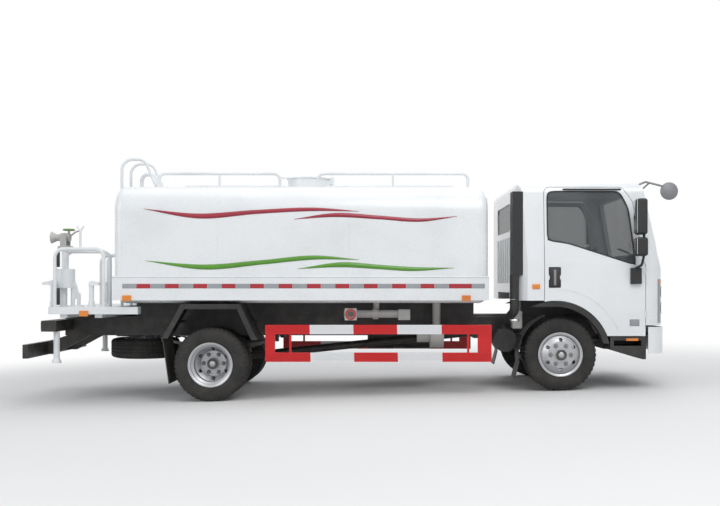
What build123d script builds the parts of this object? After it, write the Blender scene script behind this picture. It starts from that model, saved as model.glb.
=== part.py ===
from build123d import *
import os
from math import cos, radians, sin

os.makedirs("parts", exist_ok=True)

# A light water tanker truck. It is drawn level, X forward from the rear axle, Y to the left and
# Z up from the ground under the rear wheels, in millimetres. At the end the whole truck is
# pitched nose-down by the rake of its unladen springs, which puts both axles at one height.

# Running gear
wheelbase = 3815
rake = 1.57
tyre_radius = 398.5
tyre_width = 235
rim_radius = 225
front_track = 1700
rear_track = 1650
twin_pitch = 270
running_gap = 0.4

# Frame rails
rail_half = 425
rail_flange = 70
rail_depth = 220
rail_web = 7
rail_bottom = 686
rail_rear = -1780
rail_front = 4740

# Tank
tank_rear = -1050
tank_length = 4064
tank_width = 2160
tank_height = 1304
tank_crown = 28
tank_shoulder = 300
tank_belly = 220
tank_head_round = 90
tank_wall = 8
bearer_height = 160
skirt_bottom = 1099
skirt_height = 263
skirt_thick = 24
manhole_place = 998
manhole_radius = 250
manhole_neck = 150

# Rear platform
deck_rear = -1760
deck_front = -790
deck_inset = 30
deck_top = 1027
deck_thick = 80
hoop_tube = 20

# Cab
cab_rear = 3330
cab_front = 4946
cab_half = 1000
cab_roof = 2405
cab_wall = 45
panel_gap = 6
door_rear = 3629
door_front = 4738
door_bottom = 709
pillar_bottom = 1095
arch_centre = 3754
arch_height = 488
arch_radius = 600
flare_radius = 540
tunnel_half = 470
tunnel_top = 1180
tilt_pivot = 4800
tilt_height = 880

# Sizes that follow from the driving ones
rail_top = rail_bottom + rail_depth
rail_inner = rail_half - rail_web
tank_bottom = rail_top + bearer_height
tank_top = tank_bottom + tank_height
tank_front = tank_rear + tank_length
tank_half = tank_width / 2
deck_half = tank_half - deck_inset
front_axle_x = wheelbase * cos(radians(rake))
front_axle_z = tyre_radius + wheelbase * sin(radians(rake))
front_wheel_y = front_track / 2
rear_wheel_y = rear_track / 2
twin_offset = twin_pitch / 2

nodes = {}


def keep(name, *shapes):
    nodes[name] = [solid for shape in shapes for solid in shape.solids()]


def box(x0, x1, y0, y1, z0, z1):
    middle = Pos((x0 + x1) / 2, (y0 + y1) / 2, (z0 + z1) / 2)
    return middle * Box(x1 - x0, y1 - y0, z1 - z0)


def rod(start, end, radius):
    run = Vector(*end) - Vector(*start)
    return Plane(origin=start, z_dir=run) * Cylinder(
        radius, run.length, align=(Align.CENTER, Align.CENTER, Align.MIN)
    )


def tube(points, radius, bend):
    path = FilletPolyline(*points, radius=bend)
    return sweep(Plane(origin=path @ 0, z_dir=path % 0) * Circle(radius), path=path)


def side_cut(outline, y0, y1):
    # An outline drawn in the side view, carried across from y0 to y1.
    return extrude(Pos(0, y0, 0) * (Plane.XZ * outline), amount=y1 - y0, dir=(0, 1, 0))


def side_polygon(points, y0, y1):
    return side_cut(make_face(Polyline(*points, close=True)), y0, y1)


def end_cut(outline, x0, x1):
    # An outline drawn in the rear view, Y across and Z up, carried along from x0 to x1.
    return extrude(Pos(x0, 0, 0) * (Plane.YZ * outline), amount=x1 - x0, dir=(1, 0, 0))


def spun(points, place, turned=1):
    # A profile of (radius, height) points turned about an axis along Y through place.
    # The height runs outward, to +Y where turned is 1 and to -Y where it is -1.
    face = make_face(Polyline(*points, close=True))
    return Pos(*place) * (Rot(-90 * turned, 0, 0) * revolve(Plane.XZ * face, Axis.Z))


def domed_disc(radius, bottom, edge, top):
    # A disc with a straight edge under a spherical cap.
    rise = top - edge
    ball = (radius**2 + rise**2) / (2 * rise)
    middle = (radius / 2, top - ball + (ball**2 - radius**2 / 4) ** 0.5)
    face = make_face([
        Line((0, bottom), (radius, bottom)),
        Line((radius, bottom), (radius, edge)),
        ThreePointArc((radius, edge), middle, (0, top)),
        Line((0, top), (0, bottom)),
    ])
    return revolve(Plane.XZ * face, Axis.Z)


def left_of(shape):
    return mirror(shape, about=Plane.XZ)


def pair(shape):
    return shape, left_of(shape)


# Frame rails: channels open inward, with the hangers that carry the spring eyes
spring_y = rail_half - rail_flange / 2
spring_width = 54
leaf_thick = 14
eye_radius = 26
pin_radius = 12
eye_drop = 45
axle_pad = 10
beam_half = 45
housing_half = 65
rear_pad = 30
eye_z = rail_bottom - eye_drop

# Springs: axle place, height of the seat, half length, number of leaves
spring_table = [
    (front_axle_x, front_axle_z + beam_half + axle_pad, 575, 4),
    (0, tyre_radius + housing_half + rear_pad, 650, 6),
]


def right_rail():
    outer = box(rail_rear, rail_front, -rail_half, rail_flange - rail_half, rail_bottom, rail_top)
    hollow = box(
        rail_rear, rail_front, -rail_inner, rail_flange - rail_half,
        rail_bottom + rail_web, rail_top - rail_web,
    )
    rail = outer - hollow
    for place, seat, half_length, leaves in spring_table:
        for end in (-1, 1):
            x = place + end * half_length
            for y in (-rail_half, rail_flange - rail_half - rail_web):
                rail += box(x - eye_radius, x + eye_radius, y, y + rail_web,
                            eye_z - eye_radius, rail_bottom)
            rail += rod((x, -rail_half, eye_z), (x, rail_flange - rail_half, eye_z), pin_radius)
    return rail


def right_spring(place, seat, half_length, leaves):
    # Leaves are bands of one bow, each shorter than the one above it.
    top_leaf = seat + leaves * leaf_thick - leaf_thick / 2
    sag = eye_z - top_leaf
    bow = (half_length**2 + sag**2) / (2 * sag)
    pack = Sketch()
    for leaf in range(leaves):
        outer = bow + leaf_thick * (leaf + 0.5)
        reach = half_length * (1 - 0.8 * leaf / leaves)
        band = Circle(outer) - Circle(outer - leaf_thick)
        pack += band & (Pos(0, -bow) * Rectangle(2 * reach, bow))
    outline = Pos(place, top_leaf + bow) * pack
    for end in (-1, 1):
        eye = Pos(place + end * half_length, eye_z)
        outline = outline + eye * Circle(eye_radius) - eye * Circle(pin_radius + running_gap)
    return side_cut(outline, -spring_y - spring_width / 2, spring_width / 2 - spring_y)


frame = right_rail() + left_of(right_rail())
keep("leaf_springs", *[half for row in spring_table for half in pair(right_spring(*row))])

# Cross members: places along the rails, boxes between the webs
member_places = [-1680, -1330, -480, 760, 1700, 2450]
member_length = 90
member_inset = 14
for x in member_places:
    frame += box(x, x + member_length, -rail_inner, rail_inner,
                 rail_bottom + rail_web + member_inset, rail_top - rail_web - member_inset)

# Engine and gearbox, one plain block carried on pads against the rail webs
engine_rear = 3480
engine_length = 980
engine_half = 330
engine_bottom = 610
engine_top = 1120
gearbox_rear = 2950
gearbox_half = 180
gearbox_bottom = 640
gearbox_top = 920
pad_length = 120
pad_bottom = 760
pad_top = 830
engine = box(engine_rear, engine_rear + engine_length, -engine_half, engine_half, engine_bottom, engine_top)
engine += box(gearbox_rear, engine_rear, -gearbox_half, gearbox_half, gearbox_bottom, gearbox_top)
for x in (engine_rear + pad_length, engine_rear + engine_length - 2 * pad_length):
    engine += box(x, x + pad_length, -rail_inner, rail_inner, pad_bottom, pad_top)
keep("engine_block", engine)

# Front axle: an I-beam with a boss and pin at each end for the steering knuckle
kingpin_y = 715
boss_radius = 42
boss_half = 52
kingpin_radius = 20
lug_thick = 34
beam_width = 80
beam_web = 30
beam_flange = 24
beam_end = kingpin_y - boss_radius / 2
axle_beam = box(
    front_axle_x - beam_width / 2, front_axle_x + beam_width / 2, -beam_end, beam_end,
    front_axle_z - beam_half, front_axle_z + beam_half,
)
for side in (-1, 1):
    pocket_x = sorted((front_axle_x + side * beam_web / 2, front_axle_x + side * beam_width))
    axle_beam -= box(*pocket_x, boss_radius - kingpin_y, kingpin_y - boss_radius,
                     front_axle_z - beam_half + beam_flange, front_axle_z + beam_half - beam_flange)
for side in (-1, 1):
    axle_beam -= Pos(front_axle_x, side * kingpin_y, front_axle_z) * Box(
        2 * boss_radius + beam_width, 2 * boss_radius, 4 * beam_half)
    foot = (front_axle_x, side * kingpin_y, front_axle_z - boss_half)
    head = (front_axle_x, side * kingpin_y, front_axle_z + boss_half)
    axle_beam += rod(foot, head, boss_radius)
    axle_beam += Pos(front_axle_x, side * (kingpin_y - boss_radius), front_axle_z) * Box(
        beam_web, boss_radius, 2 * boss_half)
    axle_beam += Pos(front_axle_x, side * kingpin_y, front_axle_z) * Cylinder(
        kingpin_radius, 2 * (boss_half + lug_thick))
    axle_beam += Pos(front_axle_x, side * spring_y, front_axle_z + beam_half + axle_pad / 2) * Box(
        beam_width, spring_width, axle_pad)
keep("front_axle", axle_beam)

# Steering knuckles: two lugs on the kingpin, a spine, the spindle, a back plate and an arm
spine_y = kingpin_y + boss_radius + 8
spine_thick = 28
plate_radius = 150
plate_thick = 8
spindle_radius = 32
spindle_end = front_wheel_y + 118
arm_reach = 170
arm_width = 44
arm_eye_y = kingpin_y
arm_z = front_axle_z - boss_half - lug_thick / 2


def right_knuckle():
    body = box(front_axle_x - arm_width, front_axle_x + arm_width, -spine_y - spine_thick, -spine_y,
               front_axle_z - boss_half - lug_thick, front_axle_z + boss_half + lug_thick)
    for level in (-1, 1):
        lug = Pos(front_axle_x, -kingpin_y, front_axle_z + level * (boss_half + lug_thick / 2))
        body += lug * Cylinder(boss_radius, lug_thick - 2 * running_gap)
        body += lug * Pos(0, (kingpin_y - spine_y) / 2, 0) * Box(
            2 * boss_radius, spine_y - kingpin_y, lug_thick - 2 * running_gap)
    back = spine_y + spine_thick
    turned_parts = ((spine_y, spindle_end, spindle_radius), (back, back + plate_thick, plate_radius))
    for start, end, radius in turned_parts:
        body += rod((front_axle_x, -start, front_axle_z), (front_axle_x, -end, front_axle_z), radius)
    arm = box(front_axle_x - arm_reach, front_axle_x, -arm_eye_y - arm_width / 2, arm_width / 2 - arm_eye_y,
              arm_z - lug_thick / 2 + running_gap, arm_z + lug_thick / 2 - running_gap)
    body += arm
    body -= Pos(front_axle_x, -kingpin_y, front_axle_z) * Cylinder(
        kingpin_radius + running_gap, 4 * boss_half + 4 * lug_thick)
    body -= Pos(front_axle_x - arm_reach + arm_width / 2, -arm_eye_y, arm_z) * Cylinder(
        pin_radius + running_gap, 2 * lug_thick)
    return body


knuckle = right_knuckle()
keep("knuckle_right", knuckle)
keep("knuckle_left", left_of(knuckle))

# Tie rod: a bar under the steering arms, with a pin up into each arm's eye
tie_radius = 17
tie_x = front_axle_x - arm_reach + arm_width / 2
tie_z = arm_z - lug_thick / 2 - tie_radius - 6
tie_rod = rod((tie_x, -arm_eye_y - tie_radius, tie_z), (tie_x, arm_eye_y + tie_radius, tie_z), tie_radius)
for side in (-1, 1):
    tie_rod += rod((tie_x, side * arm_eye_y, tie_z), (tie_x, side * arm_eye_y, arm_z), pin_radius)
keep("tie_rod", tie_rod)

# Rear axle: a tube that swells into the differential, with a spindle at each end
differential_radius = 185
tube_end = 600
axle_spindle = 40
axle_spindle_end = rear_wheel_y + 60
axle_profile = [
    (0, -axle_spindle_end), (axle_spindle, -axle_spindle_end), (axle_spindle, -tube_end),
    (housing_half, -tube_end), (housing_half, -260), (differential_radius, -110),
    (differential_radius, 110), (housing_half, 260), (housing_half, tube_end),
    (axle_spindle, tube_end), (axle_spindle, axle_spindle_end), (0, axle_spindle_end),
]
pinion_radius = 75
pinion_reach = 300
rear_axle = spun(axle_profile, (0, 0, tyre_radius))
rear_axle += rod((0, 0, tyre_radius), (pinion_reach, 0, tyre_radius + 25), pinion_radius)
for side in (-1, 1):
    rear_axle += Pos(0, side * spring_y, tyre_radius + (housing_half + rear_pad) / 2) * Box(
        2 * housing_half, spring_width, housing_half + rear_pad)
keep("rear_axle", rear_axle)

# Drive shaft: from the gearbox to the differential's pinion
shaft_radius = 45
shaft_rear = (pinion_reach, 0, tyre_radius + 25)
shaft_front = (gearbox_rear, 0, gearbox_bottom + 60)
shaft = rod(shaft_rear, shaft_front, shaft_radius) - rear_axle - engine
keep("drive_shaft", shaft)

# Wheels: heights run outward from the tyre's middle plane
tyre_half = tyre_width / 2
flange_radius = rim_radius + 18
rim_half = 112
rim_skin = 9
well_radius = rim_radius - 25
disc_offset = twin_offset
disc_thick = 12
hub_radius = 62
hand_holes = 6
hand_hole_radius = 21
hand_hole_pitch = 163
drum_radius = 168
cap_radius = 52

tyre_side = [
    (rim_radius + running_gap, 0.42 * tyre_width), (flange_radius + running_gap, 0.425 * tyre_width),
    (0.765 * tyre_radius, tyre_half), (0.94 * tyre_radius, 0.45 * tyre_width),
    (tyre_radius, 0.33 * tyre_width),
]
tyre_profile = [(r, -h) for r, h in tyre_side] + [(r, h) for r, h in reversed(tyre_side)]
rim_outside = [
    (flange_radius, rim_half), (flange_radius, rim_half - rim_skin), (rim_radius, rim_half - 12),
    (rim_radius, 60), (well_radius, 40),
]
rim_inside = [
    (well_radius - rim_skin, 44), (rim_radius - rim_skin, 64), (rim_radius - rim_skin, rim_half - rim_skin),
    (flange_radius - rim_skin, rim_half),
]
rim_profile = (
    rim_outside + [(r, -h) for r, h in reversed(rim_outside)]
    + [(r, -h) for r, h in reversed(rim_inside)] + rim_inside
)
disc_profile = [
    (rim_radius - rim_skin, 66), (rim_radius - rim_skin, 84), (178, disc_offset - 22), (146, disc_offset),
    (hub_radius - 6, disc_offset), (hub_radius - 6, disc_offset - disc_thick),
    (140, disc_offset - disc_thick),
    (170, disc_offset - 22 - disc_thick),
]


def rim(place, turned):
    wheel = spun(rim_profile, place, turned) + spun(disc_profile, place, turned)
    for hole in range(hand_holes):
        angle = radians(360 * (hole + 0.5) / hand_holes)
        x = place[0] + hand_hole_pitch * cos(angle)
        z = place[2] + hand_hole_pitch * sin(angle)
        start = (x, place[1] + turned * disc_offset / 2, z)
        wheel -= rod(start, (x, place[1] + turned * 2 * disc_offset, z), hand_hole_radius)
    return wheel


front_hub = [
    (spindle_radius + running_gap, 10), (drum_radius, 10), (drum_radius, 60), (hub_radius, 70),
    (hub_radius, disc_offset + 12), (cap_radius, disc_offset + 30), (0, disc_offset + 30),
    (0, spindle_end - front_wheel_y + 3), (spindle_radius + running_gap, spindle_end - front_wheel_y + 3),
]
rear_hub = [
    (axle_spindle + running_gap, -200), (drum_radius, -200), (drum_radius, -90), (hub_radius, -80),
    (hub_radius, 75), (cap_radius, 100), (0, 100), (0, axle_spindle_end - rear_wheel_y + 3),
    (axle_spindle + running_gap, axle_spindle_end - rear_wheel_y + 3),
]

for side, turned in (("right", -1), ("left", 1)):
    front_centre = (front_axle_x, turned * front_wheel_y, front_axle_z)
    outer_centre = (0, turned * (rear_wheel_y + twin_offset), tyre_radius)
    inner_centre = (0, turned * (rear_wheel_y - twin_offset), tyre_radius)
    keep("front_tyre_" + side, spun(tyre_profile, front_centre, turned))
    keep("front_rim_" + side, rim(front_centre, turned) + spun(front_hub, front_centre, turned))
    twins = [spun(tyre_profile, centre, turned) for centre in (outer_centre, inner_centre)]
    keep("rear_tyres_" + side, *twins)
    twin = rim(outer_centre, -turned) + rim(inner_centre, turned)
    keep("rear_rims_" + side, twin + spun(rear_hub, (0, turned * rear_wheel_y, tyre_radius), turned))

# Spare wheel, lying under the rear of the frame on a bar hung from two cross members
spare_x = -955
spare_gap = 46
spare_z = rail_bottom - spare_gap - tyre_half
hanger_radius = 18
upright = Pos(spare_x, 0, spare_z) * Rot(90, 0, 0)
keep("spare_tyre", upright * spun(tyre_profile, (0, 0, 0)))
carrier = upright * rim((0, 0, 0), 1)
member_floor = rail_bottom + rail_web + member_inset
carrier += Pos(spare_x, 0, spare_z + disc_offset - disc_thick / 2) * Cylinder(hub_radius, disc_thick)
carrier_top = spare_z + disc_offset - disc_thick / 2
for x in (member_places[1] + member_length / 2, member_places[2] + member_length / 2):
    carrier += rod((x, 0, carrier_top + hanger_radius), (x, 0, member_floor), hanger_radius)
carrier += rod(
    (member_places[1] + member_length / 2 - hanger_radius, 0, carrier_top + hanger_radius),
    (member_places[2] + member_length / 2 + hanger_radius, 0, carrier_top + hanger_radius), hanger_radius,
)
keep("spare_rim", carrier)

# Tank: a crowned section with round shoulders, its heads rounded into the shell
section = make_face([
    Line((-tank_half, tank_bottom), (tank_half, tank_bottom)),
    Line((tank_half, tank_bottom), (tank_half, tank_top - tank_crown)),
    ThreePointArc((tank_half, tank_top - tank_crown), (0, tank_top), (-tank_half, tank_top - tank_crown)),
    Line((-tank_half, tank_top - tank_crown), (-tank_half, tank_bottom)),
])
section = fillet(section.vertices().sort_by(Axis.Y)[-2:], tank_shoulder)
section = fillet(section.vertices().sort_by(Axis.Y)[:2], tank_belly)
shell = end_cut(section, tank_rear, tank_front)
shell = fillet(shell.faces().filter_by(Plane.YZ).edges(), tank_head_round)
cavity = end_cut(offset(section, -tank_wall), tank_rear + tank_wall, tank_front - tank_wall)
cavity = fillet(cavity.faces().filter_by(Plane.YZ).edges(), tank_head_round - tank_wall)
neck_top = tank_top + manhole_neck
neck_wall = 12
neck = Pos(manhole_place, 0, (tank_top + neck_top) / 2 - tank_crown) * Cylinder(
    manhole_radius, manhole_neck + 2 * tank_crown)
bore = Pos(manhole_place, 0, neck_top) * Cylinder(
    manhole_radius - neck_wall, 2 * (manhole_neck + 3 * tank_crown))
hinge_x = manhole_place + manhole_radius + 34
hinge_z = neck_top + 12
hinge_radius = 9
hinge_half = 60
hinge_cheek = 16
ear_height = 54
ear_gap = 4
lid_radius = manhole_radius + 14
neck = neck - bore
for side in (-1, 1):
    ear_y = sorted((side * (hinge_half + 1), side * (hinge_half + 1 + hinge_cheek)))
    neck += box(manhole_place + manhole_radius - neck_wall, hinge_x + 2 * hinge_radius, *ear_y,
                neck_top - ear_height, neck_top - ear_gap)
    neck += box(manhole_place + lid_radius + ear_gap, hinge_x + 2 * hinge_radius, *ear_y,
                neck_top - ear_height, hinge_z + 2 * hinge_radius)
neck += rod((hinge_x, -hinge_half - 2, hinge_z), (hinge_x, hinge_half + 2, hinge_z), hinge_radius)

# The tank is welded from sheets: two heads, a belly, two sides, a top in four, and the manhole neck
head_seam = tank_head_round + 5
top_seam = tank_top - 92
belly_seam = tank_bottom + 54
hatch_half = 165
seam_x = (tank_rear + head_seam, tank_front - head_seam)
hatch_x = (manhole_place - hatch_half, manhole_place + hatch_half)
sheet_over = 20
sheet_half = tank_half + sheet_over
sheet_low = tank_bottom - sheet_over
sheet_high = tank_top + sheet_over
sheets = [
    (tank_rear - sheet_over, seam_x[0], -sheet_half, sheet_half, sheet_low, sheet_high),
    (seam_x[1], tank_front + sheet_over, -sheet_half, sheet_half, sheet_low, sheet_high),
    (*seam_x, -sheet_half, sheet_half, sheet_low, belly_seam),
    (*seam_x, -sheet_half, 0, belly_seam, top_seam),
    (*seam_x, 0, sheet_half, belly_seam, top_seam),
    (seam_x[0], hatch_x[0], -sheet_half, sheet_half, top_seam, sheet_high),
    (hatch_x[1], seam_x[1], -sheet_half, sheet_half, top_seam, sheet_high),
    (*hatch_x, -sheet_half, -hatch_half, top_seam, sheet_high),
    (*hatch_x, hatch_half, sheet_half, top_seam, sheet_high),
]
hollow = shell - cavity - bore
keep("tank_shell", *[hollow & box(*sheet) for sheet in sheets], neck - shell)

# Manhole lid: a domed cover with a rim, a hinge knuckle in front and a hand latch behind
lid_gap = 0.5
lid_skirt = 14
lid_dome = 44
lid_thick = 8
lid = Pos(manhole_place, 0, neck_top) * domed_disc(lid_radius, lid_gap, lid_skirt, lid_dome)
lid += box(manhole_place + lid_radius - 2 * lid_skirt, hinge_x, -hinge_half, hinge_half,
           hinge_z - lid_thick, hinge_z + lid_thick)
lid += rod((hinge_x, -hinge_half, hinge_z), (hinge_x, hinge_half, hinge_z), 2 * hinge_radius)
pin_bore = hinge_radius + running_gap
lid -= rod((hinge_x, -2 * hinge_half, hinge_z), (hinge_x, 2 * hinge_half, hinge_z), pin_bore)
latch_x = manhole_place - lid_radius
lid += rod((latch_x - 60, 0, neck_top + 30), (latch_x + 40, 0, neck_top + 30), 9)
lid += rod((latch_x - 60, -60, neck_top + 30), (latch_x - 60, 60, neck_top + 30), 9)
keep("manhole_lid", lid)

# Bearers between the rails and the tank, and the skirts along the tank's sides
bearer_inset = 8
bearer = box(tank_rear + tank_head_round, tank_front - tank_head_round, bearer_inset - rail_half,
             rail_flange - rail_half, rail_top, tank_bottom)
frame += bearer
frame += left_of(bearer)
bead_radius = 9
skirt_top = skirt_bottom + skirt_height
skirt = box(tank_rear, tank_front, -tank_half - skirt_thick, -tank_half, skirt_bottom, skirt_top)
bead_z = skirt_top - bead_radius
bead_y = -tank_half - skirt_thick
skirt += rod((tank_rear, bead_y, bead_z), (tank_front, bead_y, bead_z), bead_radius)
keep("tank_skirts", *pair(skirt))

# Rails along the tank top, each bent down to the shell at both ends, and the gooseneck vent
rail_y = 670
rail_tube = 17
rail_rise = 147
rail_height = tank_top + rail_rise
rail_bend = 70
sink = 12
rail_foot = tank_top - tank_crown - sink
rail_spans = ((-644, 717), (1145, 2832))
top_rails = []
for start, end in rail_spans:
    points = [(start, -rail_y, rail_foot), (start, -rail_y, rail_height), (end, -rail_y, rail_height),
              (end, -rail_y, rail_foot)]
    hoop = tube(points, rail_tube, rail_bend) - shell
    post_x = (start + end) / 2
    hoop += rod((post_x, -rail_y, rail_foot), (post_x, -rail_y, rail_height), rail_tube - 4) - shell
    top_rails += pair(hoop)
vent_y = -350
vent_radius = 22
vent_x = (-915, -745)
vent_top = tank_top + 175
vent_path = [(vent_x[0], vent_y, tank_top - 90), (vent_x[0], vent_y, vent_top),
             (vent_x[1], vent_y, vent_top), (vent_x[1], vent_y, tank_top + 60)]
vent = tube(vent_path, vent_radius, 70) - shell

# Ladder up the tank's rear, its stringers bent over the top as hand hoops
ladder_x = tank_rear - 43
ladder_sides = (-550, -150)
ladder_tube = 17
rung_radius = 13
rung_count = 5
hoop_top = tank_top + 325
hoop_reach = 415
ladder = Part()
for y in ladder_sides:
    points = [(ladder_x, y, deck_top), (ladder_x, y, hoop_top), (ladder_x + 0.62 * hoop_reach, y, hoop_top),
              (ladder_x + hoop_reach, y, rail_foot)]
    ladder += tube(points, ladder_tube, 120) - shell
    for z in (deck_top + 520, tank_top - 380):
        ladder += rod((ladder_x, y, z), (tank_rear, y, z), rung_radius)
for rung in range(rung_count):
    z = deck_top + 230 + rung * (tank_top - deck_top - 230) / rung_count
    ladder += rod((ladder_x, ladder_sides[0], z), (ladder_x, ladder_sides[1], z), rung_radius)
keep("tank_rails", *top_rails, vent, ladder)

# Rear platform: a plate in an edge frame on two cross bars, with a tongue under each skirt
deck_plate = 8
deck_edge = 55
tongue_inner = 905
deck_bottom = deck_top - deck_thick
bar_length = 80
deck = box(deck_rear, deck_front, -deck_half, deck_half, deck_bottom, deck_top)
deck -= box(tank_rear - deck_plate, deck_front, -tongue_inner, tongue_inner, deck_bottom, deck_top)
deck -= box(deck_rear + deck_edge, tank_rear - deck_plate - deck_edge, deck_edge - deck_half,
            deck_half - deck_edge, deck_bottom, deck_top - deck_plate)
for x in (deck_rear + 2 * deck_edge, tank_rear - 4 * deck_edge):
    deck += box(x, x + bar_length, deck_edge - deck_half, deck_half - deck_edge,
                rail_top, deck_top - deck_plate)

# Guard hoops on the platform: place across, height, rear and front posts
hoop_table = [(30 - deck_half, 1657, -1697, -1167), (360 - deck_half, 1640, -1690, -1190)]
hoop_bend = 95
fork_x = -1420
fork_height = 200
fork_spread = 36
hoops = []
for y, height, rear, front in hoop_table:
    for hoop_y in (y, -y):
        points = [(rear, hoop_y, deck_top), (rear, hoop_y, height), (front, hoop_y, height),
                  (front, hoop_y, deck_top)]
        hoop = tube(points, hoop_tube, hoop_bend)
        if hoop_y == hoop_table[0][0]:
            fork_z = height + fork_height
            hoop += rod((fork_x, hoop_y, height), (fork_x, hoop_y, fork_z), 13)
            for side in (-1, 1):
                tine_x = fork_x + side * fork_spread
                hoop += rod((fork_x, hoop_y, fork_z - 8), (tine_x, hoop_y, fork_z + 48), 9)
        hoops.append(hoop)
keep("platform", deck, *hoops)

# Cannon pedestal: two legs, a drum, a riser and a side post with its gusset
cannon_x = -1645
cannon_y = 215 - deck_half
pot_radius = 105
pot_bottom = 1232
pot_top = 1442
leg_radius = 35
riser_radius = 38
riser_top = 1664
post_radius = 20
pedestal = rod((cannon_x, cannon_y, pot_bottom), (cannon_x, cannon_y, pot_top), pot_radius)
for x in (cannon_x - 22, cannon_x + 84):
    pedestal += rod((x, cannon_y, deck_top), (x, cannon_y, pot_bottom), leg_radius - (x > cannon_x) * 12)
pedestal += rod((cannon_x, cannon_y, pot_top), (cannon_x, cannon_y, riser_top), riser_radius)
pedestal += side_polygon([(cannon_x + 70, pot_top), (cannon_x + 70, pot_bottom - 120),
                          (cannon_x + 175, pot_bottom - 120)], cannon_y - 5, cannon_y + 5)
pedestal += box(cannon_x - 60, cannon_x + 190, cannon_y - 60, cannon_y + 60, deck_top, deck_top + 12)
post_x = cannon_x + 150
pedestal += rod((post_x, cannon_y, deck_top), (post_x, cannon_y, pot_bottom - 60), post_radius)
keep("cannon_pedestal", pedestal)

# Water cannon: a swivel with two cheeks, and a barrel with its bell, hand wheel and tiller
swivel_gap = 0.6
swivel_base = riser_top + swivel_gap
cheek_gap = 62
cheek_thick = 14
trunnion_z = 1790
trunnion_radius = 16
swivel = rod((cannon_x, cannon_y, swivel_base), (cannon_x, cannon_y, swivel_base + 30), 82)
for side in (-1, 1):
    y0, y1 = sorted((cannon_y + side * cheek_gap, cannon_y + side * (cheek_gap + cheek_thick)))
    cheek = box(cannon_x - 34, cannon_x + 34, y0, y1, swivel_base, trunnion_z)
    cheek += rod((cannon_x, y0, trunnion_z), (cannon_x, y1, trunnion_z), 34)
    eye = rod((cannon_x, y0 - 1, trunnion_z), (cannon_x, y1 + 1, trunnion_z), trunnion_radius + running_gap)
    swivel += cheek - eye
keep("cannon_swivel", swivel)

barrel_profile = [
    (0, -55), (46, -55), (50, -40), (50, 40), (38, 70), (38, 90), (66, 150), (58, 150), (30, 92), (0, 92),
]
barrel_face = make_face(Polyline(*barrel_profile, close=True))
barrel = Pos(cannon_x, cannon_y, trunnion_z) * (Rot(0, -90, 0) * revolve(Plane.XZ * barrel_face, Axis.Z))
trunnion_end = cheek_gap + cheek_thick
trunnion = (cannon_x, cannon_y + trunnion_end, trunnion_z)
barrel += rod((cannon_x, cannon_y - trunnion_end, trunnion_z), trunnion, trunnion_radius)
wheel_x = cannon_x + 40
barrel += rod((wheel_x, cannon_y, trunnion_z), (wheel_x, cannon_y, trunnion_z + 92), 12)
barrel += Pos(wheel_x, cannon_y, trunnion_z + 86) * (Cylinder(62, 14) - Cylinder(48, 14))
for angle in (0, 60, 120):
    barrel += Pos(wheel_x, cannon_y, trunnion_z + 86) * Rot(0, 0, angle) * Box(106, 10, 10)
barrel += tube([(cannon_x + 40, cannon_y, trunnion_z), (cannon_x + 110, cannon_y, trunnion_z + 60),
                (cannon_x + 172, cannon_y, trunnion_z + 80)], 9, 20)
keep("cannon_barrel", barrel)

# Duckbill nozzles on the platform: place along, post radius, head length, head height
nozzle_y = 90 - deck_half
nozzle_table = [(-1735, 30, -112, 1292), (-1316, 26, 92, 1286)]
nozzles = []
for x, radius, head, z in nozzle_table:
    nozzle = rod((x, nozzle_y, deck_top), (x, nozzle_y, z), radius)
    nozzle += rod((x, nozzle_y, deck_top), (x, nozzle_y, deck_top + 60), radius + 8)
    side = 1 if head > 0 else -1
    bill = [(x - side * radius, z - 30), (x - side * radius, z + 4), (x, z + 26), (x + head, z + 2),
            (x + head, z - 24), (x, z - 30)]
    nozzle += side_polygon(bill, nozzle_y - 32, nozzle_y + 32)
    nozzles += pair(nozzle)

# Lamp beam across the rail ends, tail lamps on it, drop pipes below it, and the underrun bar
beam_rear = rail_rear - 65
beam_reach = 1030
beam_bottom = 757
beam_top = 876
lamp_beam = box(beam_rear, rail_rear, -beam_reach, beam_reach, beam_bottom, beam_top)
for side in (-1, 1):
    end_y = sorted((side * (rail_half + 5), side * beam_reach))
    lamp_beam += box(beam_rear, rail_rear + 100, *end_y, beam_bottom, beam_top)
lamp_depth = 28
tail_lamp = box(beam_rear - lamp_depth, beam_rear, -960, -700, beam_bottom + 18, beam_top - 18)
drop_x = rail_rear + 72
drop_y = -930
drop_bottom = 411
drop_radius = 33
drop_foot = 52
drop_face = make_face(Polyline(
    (0, drop_bottom), (drop_foot, drop_bottom), (drop_foot, drop_bottom + 14),
    (drop_radius, drop_bottom + 50), (drop_radius, beam_bottom), (0, beam_bottom), close=True))
drop_pipe = Pos(drop_x, drop_y, 0) * revolve(Plane.XZ * drop_face, Axis.Z)
keep("water_nozzles", *nozzles, *pair(drop_pipe))
bar_rear = rail_rear - 263
bar_front = rail_rear - 205
bar_bottom = 465
bar_top = 616
underrun = box(bar_rear, bar_front, -1040, 1040, bar_bottom, bar_top)
bracket_points = [(rail_rear + 280, rail_bottom), (rail_rear + 20, rail_bottom), (bar_front, bar_top - 4),
                  (bar_front, bar_bottom + 5), (rail_rear - 120, bar_bottom + 5)]
for y in (-rail_half, rail_half - rail_flange):
    underrun += side_polygon(bracket_points, y + rail_web, y + rail_flange - rail_web)
keep("rear_beams", lamp_beam, underrun)

# Rear fenders: folded plates over the twins with an outer lip, held by rods from the rails
fender_points = [(-519, 686), (-313, 1059), (324, 1059), (508, 670)]
fender_inner = 560
fender_outer = 1088
fender_plate = 8
fender_lip = 55
fender_rod = 14


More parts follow.
